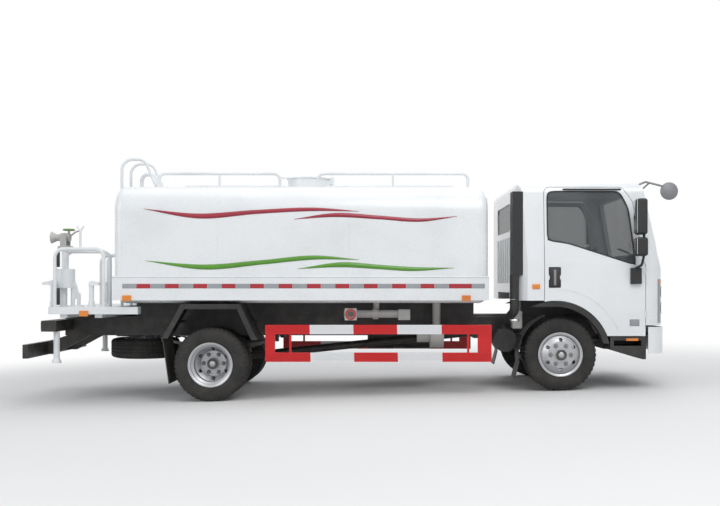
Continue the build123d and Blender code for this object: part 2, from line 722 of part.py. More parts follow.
def fender_band(depth, y0, y1):
    (ax, az), (bx, bz), (cx, cz), (dx, dz) = fender_points
    inside = [(dx - 1.13 * depth, dz), (cx - 0.63 * depth, cz - depth), (bx + 0.63 * depth, bz - depth),
              (ax + 1.13 * depth, az)]
    return side_polygon(fender_points + inside, y0, y1)


fender = fender_band(fender_plate, -fender_outer, -fender_inner)
fender += fender_band(fender_lip, -fender_outer, fender_plate - fender_outer)
for x, z in ((-418, 850), (412, 850)):
    fender += rod((x, -fender_outer + fender_plate, z), (x, -rail_half, z), fender_rod)
flap_top = fender_points[0][1]
flap = side_polygon([(-519, flap_top), (-510, flap_top), (-440, 195), (-450, 195)], -1075, -575)
keep("rear_fenders", *pair(fender + flap))

# Side guards: a frame of rails and uprights on two arms from the rail
guard_rear = 595
guard_front = 3048
guard_bottom = 432
guard_top = 832
guard_rail = 100
guard_rear_post = 105
guard_front_post = 150
guard_outer = 1062
guard_thick = 27
guard_arms = (866, 2795)
arm_half = 20
groove_depth = 5
groove_width = 9
groove_count = 3
groove_end = 30
upright_half = 12
guard_back = guard_thick - guard_outer
window_low = guard_bottom + guard_rail
window_high = guard_top - guard_rail
bars = []
for low in (guard_bottom, window_high):
    bar = box(guard_rear, guard_front, -guard_outer, guard_back, low, low + guard_rail)
    for groove in range(groove_count):
        z = low + guard_rail * (groove + 1) / (groove_count + 1)
        bar -= box(guard_rear + groove_end, guard_front - groove_end, -guard_outer,
                   groove_depth - guard_outer, z - groove_width / 2, z + groove_width / 2)
    bars.append(bar)
posts = [(guard_rear, guard_rear + guard_rear_post), (guard_front - guard_front_post, guard_front)]
posts += [(x - upright_half, x + upright_half) for x in guard_arms]
for rear, front in posts:
    bars.append(box(rear, front, groove_depth - guard_outer, guard_back, window_low, window_high))
for x in guard_arms:
    bars.append(box(x - arm_half, x + arm_half, guard_back, -rail_half,
                    guard_top - 4 * arm_half, guard_top - 2 * arm_half))
keep("side_guards", *[side for bar in bars for side in pair(bar)])

# Hydrant pipe under the right of the tank, with a valve, a neck up to the tank and an outlet
hydrant_y = -855
hydrant_z = 945
hydrant_rear = 1443
hydrant_front = 2171
hydrant_radius = 42
outlet_x = 1520
outlet_end = 990
outlet_bore = 32.5
bore_depth = 70
hydrant = rod((hydrant_rear, hydrant_y, hydrant_z), (hydrant_front, hydrant_y, hydrant_z), hydrant_radius)
valve_half = 65
hydrant += box(hydrant_front - 2 * valve_half, hydrant_front, hydrant_y - valve_half,
               hydrant_y + valve_half, hydrant_z - valve_half, hydrant_z + 50)
hydrant += rod((outlet_x, hydrant_y, hydrant_z), (outlet_x, -outlet_end, hydrant_z), outlet_bore + 12)
hydrant += box(outlet_x - valve_half, outlet_x + valve_half, -outlet_end, 14 - outlet_end,
               hydrant_z - valve_half, hydrant_z + valve_half)
feed_x = 1800
feed_y = hydrant_y + 60
hydrant += rod((feed_x, feed_y, hydrant_z), (feed_x, feed_y, tank_bottom + 60), hydrant_radius - 8) - shell
clamp_ends = [(x, hydrant_y, hydrant_z) for x in (feed_x - 40, feed_x + 20)]
hydrant += rod(*clamp_ends, hydrant_radius + 16)
mouth = (outlet_x, -outlet_end - 1, hydrant_z)
hydrant -= rod((outlet_x, bore_depth - outlet_end, hydrant_z), mouth, outlet_bore)

# Water pump on the right rail, its suction pipe up to the tank
pump_x = 2480
pump_y = -640
pump_z = 690
pump_radius = 130
pump = Pos(pump_x, pump_y, pump_z) * Rot(0, 90, 0) * Cylinder(pump_radius, 150)
pump += Pos(pump_x - 140, pump_y, pump_z) * Rot(0, 90, 0) * Cylinder(70, 160)
pump += box(pump_x - 40, pump_x + 40, pump_y, -rail_half, rail_bottom + 20, rail_bottom + 60)
pump += rod((pump_x, pump_y, pump_z), (pump_x, pump_y, tank_bottom), 45)
keep("water_pump", hydrant, pump)

# Fuel tank on the left rail
fuel_rear = 1700
fuel_front = 2560
fuel_outer = 950
fuel_inner = 500
fuel_bottom = 470
fuel_top = 850
fuel_round = 70
fuel = box(fuel_rear, fuel_front, fuel_inner, fuel_outer, fuel_bottom, fuel_top)
fuel = fillet(fuel.edges().filter_by(Axis.X), fuel_round)
for x in (fuel_rear + 150, fuel_front - 210):
    fuel += box(x, x + 60, rail_half, fuel_inner + 20, rail_bottom + 14, rail_bottom + 74)
keep("fuel_tank", fuel)

# Air cleaner on the right, its intake pipe up to the bellows under the cab's snorkel
cleaner_x = 3245
cleaner_z = 646
cleaner_radius = 130
cleaner_outer = -728
cleaner_inner = -480
intake_x = 3312
intake_y = -946
intake_top = 1105
intake_radius = 50
seal_gap = 5
cleaner = rod((cleaner_x, cleaner_outer, cleaner_z), (cleaner_x, cleaner_inner, cleaner_z), cleaner_radius)
cleaner += box(cleaner_x - 50, cleaner_x + 50, cleaner_inner - 1, -rail_half,
               rail_bottom + 6, rail_bottom + 46)
cleaner += tube([(cleaner_x, cleaner_outer + 80, cleaner_z), (cleaner_x, cleaner_outer + 80, 840),
                 (intake_x, intake_y, 980), (intake_x, intake_y, intake_top)], intake_radius, 75)
keep("air_cleaner", cleaner)

# Coolant bottle behind the right front wheel
bottle = fillet(box(3325, 3445, -690, -570, 770, 975).edges(), 22)
bottle += box(3365, 3405, -575, -rail_half, 800, 830)
keep("coolant_bottle", bottle)

# Front mudguards: bent plates behind the front wheels with a flap below
guard_radius = 460
guard_plate = 6
mudguard_inner = 738
mudguard_outer = 985
stay_angle = 152


def around_wheel(radius, angle):
    return front_axle_x + radius * cos(radians(angle)), front_axle_z + radius * sin(radians(angle))


guard_bend = guard_radius + guard_plate
arc_angles = (112, 150, 190)
flap_bottom = 255
inner_ends = [around_wheel(guard_radius, angle) for angle in arc_angles]
outer_ends = [around_wheel(guard_bend, angle) for angle in reversed(arc_angles)]
bend = [ThreePointArc(*inner_ends), Line(inner_ends[-1], outer_ends[0])]
bend += [ThreePointArc(*outer_ends), Line(outer_ends[-1], inner_ends[0])]
mudguard = side_cut(make_face(bend), -mudguard_outer, -mudguard_inner)
foot_x, foot_z = outer_ends[0]
flap_points = [(foot_x, foot_z + 8), (foot_x + guard_plate, foot_z), (foot_x - 38, flap_bottom),
               (foot_x - 48, flap_bottom)]
mudguard += side_polygon(flap_points, -mudguard_outer, -mudguard_inner)
stay_x, stay_z = around_wheel(guard_bend, stay_angle)
mudguard += rod((stay_x, -mudguard_outer + 20, stay_z), (stay_x, -rail_half, stay_z), 11)
keep("front_mudguards", *pair(mudguard))

# Front brackets: the cab's tilt pins and the arms that carry the bumper
bumper_front = 4956
bumper_rear = 4760
bumper_half = 1010
bumper_bottom = 520
bumper_top = 808
bumper_skin = 10
bumper_round = 150
bracket_inner = rail_half - rail_flange + 7
pin_tilt = 18
tilt_bracket = box(rail_front, tilt_pivot, -rail_half, -bracket_inner, tilt_height - 35, tilt_height + 25)
tilt_bracket += rod((tilt_pivot, -rail_half, tilt_height), (tilt_pivot, -bracket_inner, tilt_height), 32)
pin_end = (tilt_pivot, -tunnel_half - cab_wall + 3, tilt_height)
tilt_bracket += rod(pin_end, (tilt_pivot, -bracket_inner, tilt_height), pin_tilt)
bumper_arm = box(rail_front, bumper_front - bumper_skin, -rail_half, -bracket_inner,
                 rail_bottom + 4, rail_bottom + 34)
for bracket in (tilt_bracket, bumper_arm):
    frame += bracket
    frame += left_of(bracket)
keep("chassis_frame", frame)


def bumper_plan(skin):
    nose = bumper_front - skin
    plan = Pos((bumper_rear + nose) / 2, 0) * Rectangle(nose - bumper_rear, 2 * (bumper_half - skin))
    return fillet(plan.vertices().sort_by(Axis.X)[-2:], bumper_round - skin)


plate_half = 260
plate_recess = 4
bumper = extrude(bumper_plan(0) - bumper_plan(bumper_skin), amount=bumper_top - bumper_bottom)
bumper = Pos(0, 0, bumper_bottom) * bumper
for low, high in ((bumper_bottom + 40, bumper_bottom + 105), (bumper_bottom + 130, bumper_top - 40)):
    bumper -= box(bumper_front - plate_recess, bumper_front, -plate_half, plate_half, low, high)
keep("bumper", bumper)

# Front steps under the doors
step_outer = 992
step_inner = 660
step_points = [(4350, 700), (4740, 700), (4740, 455), (4700, 455), (4350, 560)]
step = side_polygon(step_points, -step_outer, -step_inner)
step -= box(4390, 4690, -step_outer, -step_inner - 60, 600, 660)
step += box(4480, 4560, -step_inner, -rail_half, rail_bottom - 6, rail_bottom + 14)
keep("front_steps", *pair(step))

# Marker lamps on the chassis: place along, distance out, height, length, height of the lens
marker_depth = 16
marker_table = [
    (-1420, deck_half, 955, 95, 60),
    (-940, tank_half + skirt_thick, 1122, 95, 60),
    (2720, tank_half + skirt_thick, 1122, 95, 60),
    (4520, step_outer, 670, 130, 26),
]
markers = []
for x, out, z, length, tall in marker_table:
    markers += pair(box(x, x + length, -out - marker_depth, -out, z - tall / 2, z + tall / 2))
keep("chassis_lamps", *markers, *pair(tail_lamp))

# Cab: one form from a side, a plan and a front outline, taken at any inset for skins and walls
corner_front = 170
corner_rear = 120
lean = 62
waist = 1500
roof_round = 140


def inset_face(face, inset):
    return offset(face, amount=-inset, kind=Kind.INTERSECTION) if inset else face


cab_base = door_bottom - 200


def cab_side(inset):
    # The side outline stands a little above the front one, so that they share no face.
    crest = cab_roof + 2
    side = make_face(Polyline(
        (cab_rear, cab_base), (cab_rear, crest), (cab_front - 286, crest), (cab_front - 224, cab_roof - 75),
        (cab_front - 76, 1600), (cab_front - 17, 1430), (cab_front, 1210), (cab_front, cab_base),
        close=True))
    return inset_face(fillet(side.vertices().sort_by(Axis.Y)[-2:], 90), inset)


def cab_form(inset):
    plan = make_face(Polyline(
        (cab_rear, corner_rear - cab_half), (cab_rear + corner_rear, -cab_half), (cab_front, -cab_half),
        (cab_front, cab_half), (cab_rear + corner_rear, cab_half), (cab_rear, cab_half - corner_rear),
        close=True))
    plan = fillet(plan.vertices().sort_by(Axis.X)[-2:], corner_front)
    front = make_face(Polyline(
        (-cab_half, cab_base), (-cab_half, waist), (lean - cab_half, cab_roof), (cab_half - lean, cab_roof),
        (cab_half, waist), (cab_half, cab_base), close=True))
    front = fillet(front.vertices().sort_by(Axis.Y)[-2:], roof_round)
    form = side_cut(cab_side(inset), -cab_half, cab_half)
    form &= extrude(inset_face(plan, inset), amount=2 * cab_roof)
    return form & end_cut(inset_face(front, inset), cab_rear - 1, cab_front + 1)


floor_top = 1140
hump_half = tunnel_half + cab_wall
hump_top = tunnel_top + cab_wall
well_rear = 4375
well_floor = door_bottom + 51
nose_rear = door_front
nose_bottom = 827
panel_top = 1560
outside = cab_form(0)
inside = cab_form(cab_wall)
door_face = cab_form(cab_wall + panel_gap)
reach = 3000


def across(z0, z1, x0, x1, y0=-reach, y1=reach):
    return box(x0, x1, y0, y1, z0, z1)


room = inside & across(floor_top, cab_roof, cab_rear, cab_front)
for side in (-1, 1):
    well_y = sorted((side * hump_half, side * cab_half))
    room += inside & box(well_rear, nose_rear - cab_wall, *well_y, well_floor, floor_top + 1)
    toe = box(nose_rear - cab_wall - 1, cab_front, *well_y, nose_bottom + cab_wall, floor_top + 1)
    room += inside & toe
room -= box(cab_rear, cab_front, -hump_half, hump_half, 0, hump_top)

arch = Pos(arch_centre, 0, arch_height) * Rot(90, 0, 0)
underside = across(0, pillar_bottom, 0, arch_centre) + across(0, door_bottom, 0, nose_rear)
underside += across(0, nose_bottom, nose_rear, reach * 2)
underside += box(0, cab_front - cab_wall - 10, -tunnel_half, tunnel_half, 0, tunnel_top)
underside += arch * Cylinder(arch_radius, 2 * reach)

door_top = cab_roof - 63
window_top = door_top - 52
door_outline = make_face(Polyline(
    (door_rear, door_bottom - 9), (door_rear, door_top), (4490, door_top), (4606, door_top - 162),
    (4716, 1520), (door_front, 1480), (door_front, door_bottom - 9), close=True))
door_outline = fillet(door_outline.vertices().sort_by(Axis.Y)[-3:], 70)
window_outline = make_face(Polyline(
    (3668, 1752), (3668, window_top), (4462, window_top), (4556, window_top - 190), (4628, 1482),
    (3890, 1722), close=True))
window_outline = fillet(window_outline.vertices().sort_by(Axis.Y)[-3:], 60)
screen_top = cab_roof - 120
screen_outline = make_face(Polyline(
    (-895, 1625), (-820, screen_top), (820, screen_top), (895, 1625), close=True))
screen_outline = fillet(screen_outline.vertices(), 70)
rear_pane = (cab_roof - 525, cab_roof - 210)
rear_outline = Pos(0, sum(rear_pane) / 2) * Rectangle(1040, rear_pane[1] - rear_pane[0])
rear_outline = fillet(rear_outline.vertices(), 50)

glass_out = cab_form(10)
glass_in = cab_form(16)
pane = glass_out - glass_in
glass_gap = 0.4
lamp_box = [(4650, cab_front + 1, -970, -760, 850, 1330), (4650, cab_front + 1, 760, 970, 850, 1330)]
grille_box = (4800, cab_front + 1, -560, 560, 900, 1080)

hull = outside - room - underside
door_sides = side_cut(door_outline, -reach, -600) + side_cut(door_outline, 600, reach)
door_hole = (outside - door_face) & door_sides
screen_prism = end_cut(screen_outline, 4500, reach * 2)
rear_prism = end_cut(rear_outline, 0, cab_rear + 200)
hull = hull - door_hole - screen_prism - rear_prism
pin_ends = [(tilt_pivot, y, tilt_height) for y in (-cab_half, cab_half)]
hull -= rod(*pin_ends, pin_tilt + running_gap)

# Pressed ribs on the cab's back, under the rear window
rib_places = range(-480, 481, 160)
rib_half = 25
rib_depth = 9
rib_ends = (1290, rear_pane[0] - 70)
for y in rib_places:
    hull += box(cab_rear - rib_depth, cab_rear + rib_depth, y - rib_half, y + rib_half, *rib_ends)
skin = outside - inside
panel_zone = box(door_front, cab_front + 1, -cab_half, cab_half, nose_bottom, panel_top)
panel = (hull & panel_zone) - side_cut(cab_side(cab_wall), -hump_half - 1, hump_half + 1)
lamp_zones = [box(*limits) for limits in lamp_box]
grille_zone = box(*grille_box)
keep("cab_shell", hull - panel)
keep("headlamps", *[panel & zone for zone in lamp_zones])
grille = panel & grille_zone
slat_slot = 13
for z in range(grille_box[4] + 30, grille_box[5] - 20, 40):
    grille -= box(cab_front - slat_slot, cab_front, grille_box[2] + 30, grille_box[3] - 30,
                  z - slat_slot, z + slat_slot)
keep("grille", grille)

shrunk_screen = end_cut(offset(screen_outline, -glass_gap), 4500, reach * 2)
shrunk_rear = end_cut(offset(rear_outline, -glass_gap), 0, cab_rear + 200)
keep("cab_glass", pane & shrunk_screen, pane & shrunk_rear)

# Doors: the skin's whole thickness inside the opening, less a gap all round, with the window cut
door_prism = side_cut(offset(door_outline, -panel_gap), -reach, -600)
door = (skin & door_prism) - arch * Cylinder(arch_radius + panel_gap, 2 * reach)
door -= across(0, door_bottom, 0, reach * 2)
door -= side_cut(window_outline, -reach, 0)

# A pressed bead on the door round the arch, and the handle's recess with its bar
bead_ring = 740
bead_half = 7
bead_rise = 5
bead_face = Circle(bead_ring + bead_half) - Circle(bead_ring - bead_half)
bead_face = Pos(arch_centre, arch_height) * (bead_face & (Pos(bead_ring, bead_ring) * Rectangle(
    2 * bead_ring, 2 * bead_ring)))
bead_zone = box(door_rear + 20, door_front - 20, -reach, 0, door_bottom + 60, reach)
door += side_cut(bead_face, -cab_half - bead_rise, cab_wall / 2 - cab_half) & bead_zone
recess = (3678, 3812, 1232, 1461)
recess_depth = 26
bar_half = 22
door -= box(recess[0], recess[1], -cab_half, recess_depth - cab_half, recess[2], recess[3])
bar_z = (recess[2] + recess[3]) / 2
door += box(recess[0], recess[1], 2 - cab_half, recess_depth / 2 - cab_half,
            bar_z - bar_half, bar_z + bar_half)

# Door hinges in the gap at the skin: two knuckles and a pin on the panel, one between on the door
hinge_line_x = door_front - panel_gap / 2
hinge_line_y = 2 - cab_half
knuckle_radius = 9
knuckle_pin = 4
knuckle_end = 25
knuckle_middle = 40
hinge_clear = 3
hinge_levels = (900, 1380)


def hinge_barrel(z0, z1, radius):
    return rod((hinge_line_x, hinge_line_y, z0), (hinge_line_x, hinge_line_y, z1), radius)


front_panel = panel - lamp_zones[0] - lamp_zones[1] - grille_zone
for level in hinge_levels:
    low = level + knuckle_end
    high = low + knuckle_middle
    top = high + knuckle_end
    door -= hinge_barrel(level - hinge_clear, top + hinge_clear, knuckle_radius + hinge_clear)
    clear = hinge_barrel(low, high, knuckle_radius + hinge_clear)
    fixed = hinge_barrel(level, low, knuckle_radius) + hinge_barrel(high, top, knuckle_radius)
    fixed += hinge_barrel(level, top, knuckle_pin)
    front_panel = front_panel - clear - left_of(clear) + fixed + left_of(fixed)
    swing = hinge_barrel(low + running_gap, high - running_gap, knuckle_radius)
    swing += box(hinge_line_x - 24, hinge_line_x, hinge_line_y - 4, hinge_line_y + 5,
                 low + running_gap, high - running_gap)
    door += swing - hinge_barrel(level, top, knuckle_pin + running_gap)
keep("front_panel", front_panel)
keep("door_right", door)
keep("door_left", left_of(door))
window = pane & side_cut(offset(window_outline, -glass_gap), -reach, -600)
keep("door_glass_right", window)
keep("door_glass_left", left_of(window))

# Mirrors on the doors: two heads on an arm from a base box, and a round one on the roof corner
mirror_base = (4566, 4680, 1275, 1450)
mirror_y = -1150


def right_mirrors():
    x0, x1, z0, z1 = mirror_base
    heads = box(x0, x1, -cab_half - 42, -cab_half + 8, z0, z1)
    arm = tube([(4620, 30 - cab_half, 1435), (4650, mirror_y, 1480), (4672, mirror_y, cab_roof - 815),
                (4672, mirror_y, cab_roof - 245)], 14, 40)
    upper = box(4578, 4690, mirror_y - 95, mirror_y + 60, cab_roof - 600, cab_roof - 215)
    lower = box(4578, 4696, mirror_y - 90, mirror_y + 60, cab_roof - 830, cab_roof - 630)
    upper = fillet(upper.edges(), 28)
    lower = fillet(lower.edges(), 28)
    return heads + arm + upper + lower


mirrors = right_mirrors() - outside - door
keep("mirrors_right", mirrors)
keep("mirrors_left", left_of(mirrors))

round_x = 5020
round_y = -900
round_z = cab_roof - 107
round_radius = 97
round_depth = 46
dome = Pos(round_x, round_y, round_z) * Rot(90, 0, 0) * domed_disc(round_radius, 0, 10, round_depth)
stay = tube([(4600, round_y + 40, cab_roof - 75), (4760, round_y, cab_roof - 5),
             (round_x - 20, round_y - 14, round_z + 40)], 11, 40)
brace = rod((4690, round_y + 120, cab_roof - 135), (4800, round_y, cab_roof - 20), 9)
front_mirror = dome + stay + brace - outside
keep("front_mirror", front_mirror)

# Intake snorkel in the cab's right rear corner, with the bellows below it
snorkel_bottom = 1374
snorkel_top = cab_roof - 117
corner_sum = cab_rear + corner_rear - cab_half
snorkel_plan = make_face(Polyline(
    (cab_rear - 42, -800), (cab_rear, -800), (cab_rear, corner_sum - cab_rear), (corner_sum + 955, -955),
    (cab_rear - 42, -1000 + 20), close=True))
snorkel = extrude(Pos(0, 0, snorkel_bottom) * snorkel_plan, amount=snorkel_top - snorkel_bottom)
bellows_foot = (intake_x, intake_y, intake_top + seal_gap)
snorkel += rod(bellows_foot, (intake_x, intake_y, snorkel_bottom), intake_radius)
keep("snorkel", snorkel - outside)

# Arch flares on the cab over the front wheels
flare_ring = Circle(arch_radius - running_gap) - Circle(flare_radius)
flare_ring = Pos(arch_centre, arch_height) * (flare_ring & (Pos(400, 460) * Rectangle(800, 640)))
flare_y = (-cab_half - 4, 100 - cab_half)
tail_rear = cab_rear + corner_rear
tail = box(tail_rear, arch_centre, *flare_y, arch_height + flare_radius, pillar_bottom - running_gap)
flare = side_cut(flare_ring, *flare_y) + (tail & arch * Cylinder(arch_radius - running_gap, 2 * reach))
keep("arch_flares", *pair(flare))

# Dashboard across the cab with the steering column and wheel on the left
dash = cab_form(cab_wall + 8) & box(4560, cab_front, -cab_half, cab_half, hump_top, 1540)
column_foot = (4600, 480, 1420)
column_head = (4420, 480, 1560)
wheel_ring_radius = 205
column = rod(column_foot, column_head, 30)
tilt_plane = Plane(origin=column_head, z_dir=Vector(*column_head) - Vector(*column_foot))
wheel_ring = tilt_plane * Torus(wheel_ring_radius, 15)
spokes = tilt_plane * Box(2 * wheel_ring_radius, 30, 14) + tilt_plane * Cylinder(55, 30)
keep("dashboard", dash + column + wheel_ring + spokes)

# Seats: a cushion and a leaning back, on the engine hump
seat_outline = make_face(Polyline(
    (3560, hump_top), (4090, hump_top), (4130, 1330), (4090, 1395), (3740, 1365), (3600, 1960),
    (3490, 1960), (3500, 1400), close=True))
seat_outline = fillet(seat_outline.vertices(), 24)
keep("seats", *pair(side_cut(seat_outline, -760, -200)))

# Stand the truck on its wheels, its origin on the ground at the middle of its length
pitched = Pos(0, 0, tyre_radius) * Rot(0, rake, 0) * Pos(0, 0, -tyre_radius)
whole = Compound(children=[pitched * solid for solids in nodes.values() for solid in solids])
extent = whole.bounding_box()
middle_x = (extent.min.X + extent.max.X) / 2
stand = Pos(-middle_x, 0, 0) * pitched
for name, solids in nodes.items():
    placed = [stand * solid for solid in solids]
    export_step(placed[0] if len(placed) == 1 else Compound(children=placed), "parts/" + name + ".step")
print("nodes", len(nodes), "size", [round(side) for side in tuple(extent.size)])
print("lowest", round(extent.min.Z, 3), "middle", round(middle_x, 3))
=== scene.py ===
import math

import bpy
import numpy as np
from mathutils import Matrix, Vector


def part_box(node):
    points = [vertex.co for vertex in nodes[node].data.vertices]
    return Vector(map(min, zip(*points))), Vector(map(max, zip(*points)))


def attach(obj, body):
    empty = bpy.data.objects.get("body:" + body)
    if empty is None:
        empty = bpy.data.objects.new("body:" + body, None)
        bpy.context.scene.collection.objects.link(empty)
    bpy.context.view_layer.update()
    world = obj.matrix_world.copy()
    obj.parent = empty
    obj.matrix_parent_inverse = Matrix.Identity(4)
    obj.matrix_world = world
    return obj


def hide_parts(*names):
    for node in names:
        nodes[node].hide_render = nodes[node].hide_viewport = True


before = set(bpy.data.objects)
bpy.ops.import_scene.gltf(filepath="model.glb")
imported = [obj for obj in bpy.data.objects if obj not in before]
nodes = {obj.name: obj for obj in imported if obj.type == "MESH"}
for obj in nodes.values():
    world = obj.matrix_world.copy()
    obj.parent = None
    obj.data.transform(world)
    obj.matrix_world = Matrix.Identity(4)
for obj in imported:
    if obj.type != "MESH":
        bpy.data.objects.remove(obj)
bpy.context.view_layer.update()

# The truck is drawn level and stands nose-down on its springs, so places below are given as
# drawn: millimetres forward of the rear axle, to the left, and up from the ground there.
truck = {"rake": math.radians(1.57), "wheelRadius": 398.5, "wheelbase": 3815.0}
rearLow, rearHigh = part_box("rear_tyres_right")
rearAxle = (rearLow[0] + rearHigh[0]) / 2 * 1000


def spot(u, y, h):
    # turns drawn places by the rake about the rear axle and gives metres in the frame
    u, y, h = np.broadcast_arrays(np.asarray(u, float), np.asarray(y, float), np.asarray(h, float))
    up = h - truck["wheelRadius"]
    c, s = math.cos(truck["rake"]), math.sin(truck["rake"])
    along = u * c + up * s + rearAxle
    tall = up * c - u * s + truck["wheelRadius"]
    return np.stack([along, y, tall], axis=-1) / 1000


# All wheels stand on level ground, so as drawn the front axle is higher than the rear one
frontU = truck["wheelbase"] * math.cos(truck["rake"])
frontHeight = truck["wheelRadius"] + truck["wheelbase"] * math.sin(truck["rake"])

# Stage, light and camera
stageLook = {"floor": (0.80, 0.80, 0.79), "floorRough": 0.9, "reach": 60.0, "fade": (4.5, 9.0),
             "world": (0.80, 0.84, 0.90), "worldStrength": 0.45, "lampAim": (0, 0, 1.2)}
cameraSet = {"u": 1730.0, "away": 11080.0, "h": 1254.0, "focal": 925.0, "width": 720.0, "height": 506.0,
             "horizon": (370.0, 286.0), "sensor": 36.0}
lamps = [
    {"name": "keyLight", "at": (3.0, -7.5, 8.0), "size": 7.0, "power": 430.0},
    {"name": "fillLight", "at": (-7.5, -6.0, 5.0), "size": 6.0, "power": 170.0},
    {"name": "topLight", "at": (0.0, 0.5, 9.0), "size": 9.0, "power": 240.0},
    {"name": "backLight", "at": (5.0, 8.0, 6.0), "size": 6.0, "power": 220.0},
]


def aimAt(thing, target):
    # a lamp shines along its own downward axis, so it is tilted up from there and turned to the target
    run = np.array(target) - np.array(thing.location)
    flat = math.hypot(run[0], run[1])
    thing.rotation_euler = (math.atan2(flat, -run[2]), 0, math.atan2(-run[0], run[1]))


def seenRays(tree):
    # one where a ray comes from the camera, a reflection or through glass, else nought
    rays = tree.nodes.new("ShaderNodeLightPath")
    total = rays.outputs["Is Camera Ray"]
    for name in ("Is Glossy Ray", "Is Transmission Ray"):
        either = tree.nodes.new("ShaderNodeMath")
        either.operation = "MAXIMUM"
        tree.links.new(total, either.inputs[0])
        tree.links.new(rays.outputs[name], either.inputs[1])
        total = either.outputs[0]
    return total


def paleFloor():
    # a matt floor that fades into the white background with the distance from the truck
    mat = bpy.data.materials.new("paleFloor")
    mat.use_nodes = True
    tree = mat.node_tree
    shader = tree.nodes["Principled BSDF"]
    shader.inputs["Base Color"].default_value = (*stageLook["floor"], 1)
    shader.inputs["Roughness"].default_value = stageLook["floorRough"]
    white = tree.nodes.new("ShaderNodeEmission")
    place = tree.nodes.new("ShaderNodeTexCoord")
    far = tree.nodes.new("ShaderNodeVectorMath")
    far.operation = "LENGTH"
    tree.links.new(place.outputs["Object"], far.inputs[0])
    fade = tree.nodes.new("ShaderNodeMapRange")
    fade.interpolation_type = "SMOOTHSTEP"
    fade.inputs["From Min"].default_value, fade.inputs["From Max"].default_value = stageLook["fade"]
    tree.links.new(far.outputs["Value"], fade.inputs["Value"])
    seen = tree.nodes.new("ShaderNodeMath")
    seen.operation = "MULTIPLY"
    tree.links.new(fade.outputs[0], seen.inputs[0])
    tree.links.new(seenRays(tree), seen.inputs[1])
    mix = tree.nodes.new("ShaderNodeMixShader")
    tree.links.new(seen.outputs[0], mix.inputs[0])
    tree.links.new(shader.outputs[0], mix.inputs[1])
    tree.links.new(white.outputs[0], mix.inputs[2])
    tree.links.new(mix.outputs[0], tree.nodes["Material Output"].inputs["Surface"])
    return mat


def softWorld():
    # white where it is seen, and a soft blue-grey light elsewhere
    world = bpy.data.worlds.new("softWorld")
    world.use_nodes = True
    tree = world.node_tree
    back = tree.nodes["Background"]
    back.inputs["Color"].default_value = (*stageLook["world"], 1)
    back.inputs["Strength"].default_value = stageLook["worldStrength"]
    white = tree.nodes.new("ShaderNodeBackground")
    white.inputs["Color"].default_value = (1, 1, 1, 1)
    mix = tree.nodes.new("ShaderNodeMixShader")
    tree.links.new(seenRays(tree), mix.inputs[0])
    tree.links.new(back.outputs[0], mix.inputs[1])
    tree.links.new(white.outputs[0], mix.inputs[2])
    tree.links.new(mix.outputs[0], tree.nodes["World Output"].inputs["Surface"])
    return world


def buildStage():
    reach = stageLook["reach"]
    mesh = bpy.data.meshes.new("floor")
    corners = [(-reach, -reach, 0), (reach, -reach, 0), (reach, reach, 0), (-reach, reach, 0)]
    mesh.from_pydata(corners, [], [(0, 1, 2, 3)])
    floor = bpy.data.objects.new("floor", mesh)
    bpy.context.scene.collection.objects.link(floor)
    mesh.materials.append(paleFloor())
    bpy.context.scene.world = softWorld()
    for row in lamps:
        data = bpy.data.lights.new(row["name"], "AREA")
        data.shape = "DISK"
        data.size = row["size"]
        data.energy = row["power"]
        lamp = bpy.data.objects.new(row["name"], data)
        lamp.location = row["at"]
        aimAt(lamp, stageLook["lampAim"])
        bpy.context.scene.collection.objects.link(lamp)


def buildCamera():
    data = bpy.data.cameras.new("photoCamera")
    data.sensor_width = cameraSet["sensor"]
    data.lens = cameraSet["focal"] / cameraSet["width"] * data.sensor_width
    data.shift_x = (cameraSet["width"] / 2 - cameraSet["horizon"][0]) / cameraSet["width"]
    data.shift_y = (cameraSet["horizon"][1] - cameraSet["height"] / 2) / cameraSet["width"]
    camera = bpy.data.objects.new("photoCamera", data)
    camera.location = spot(cameraSet["u"], -cameraSet["away"], cameraSet["h"])
    camera.rotation_euler = (math.pi / 2, truck["rake"], 0)
    bpy.context.scene.collection.objects.link(camera)
    bpy.context.scene.camera = camera


bpy.context.scene.view_settings.view_transform = "Standard"
buildStage()
buildCamera()
print("stage and camera")

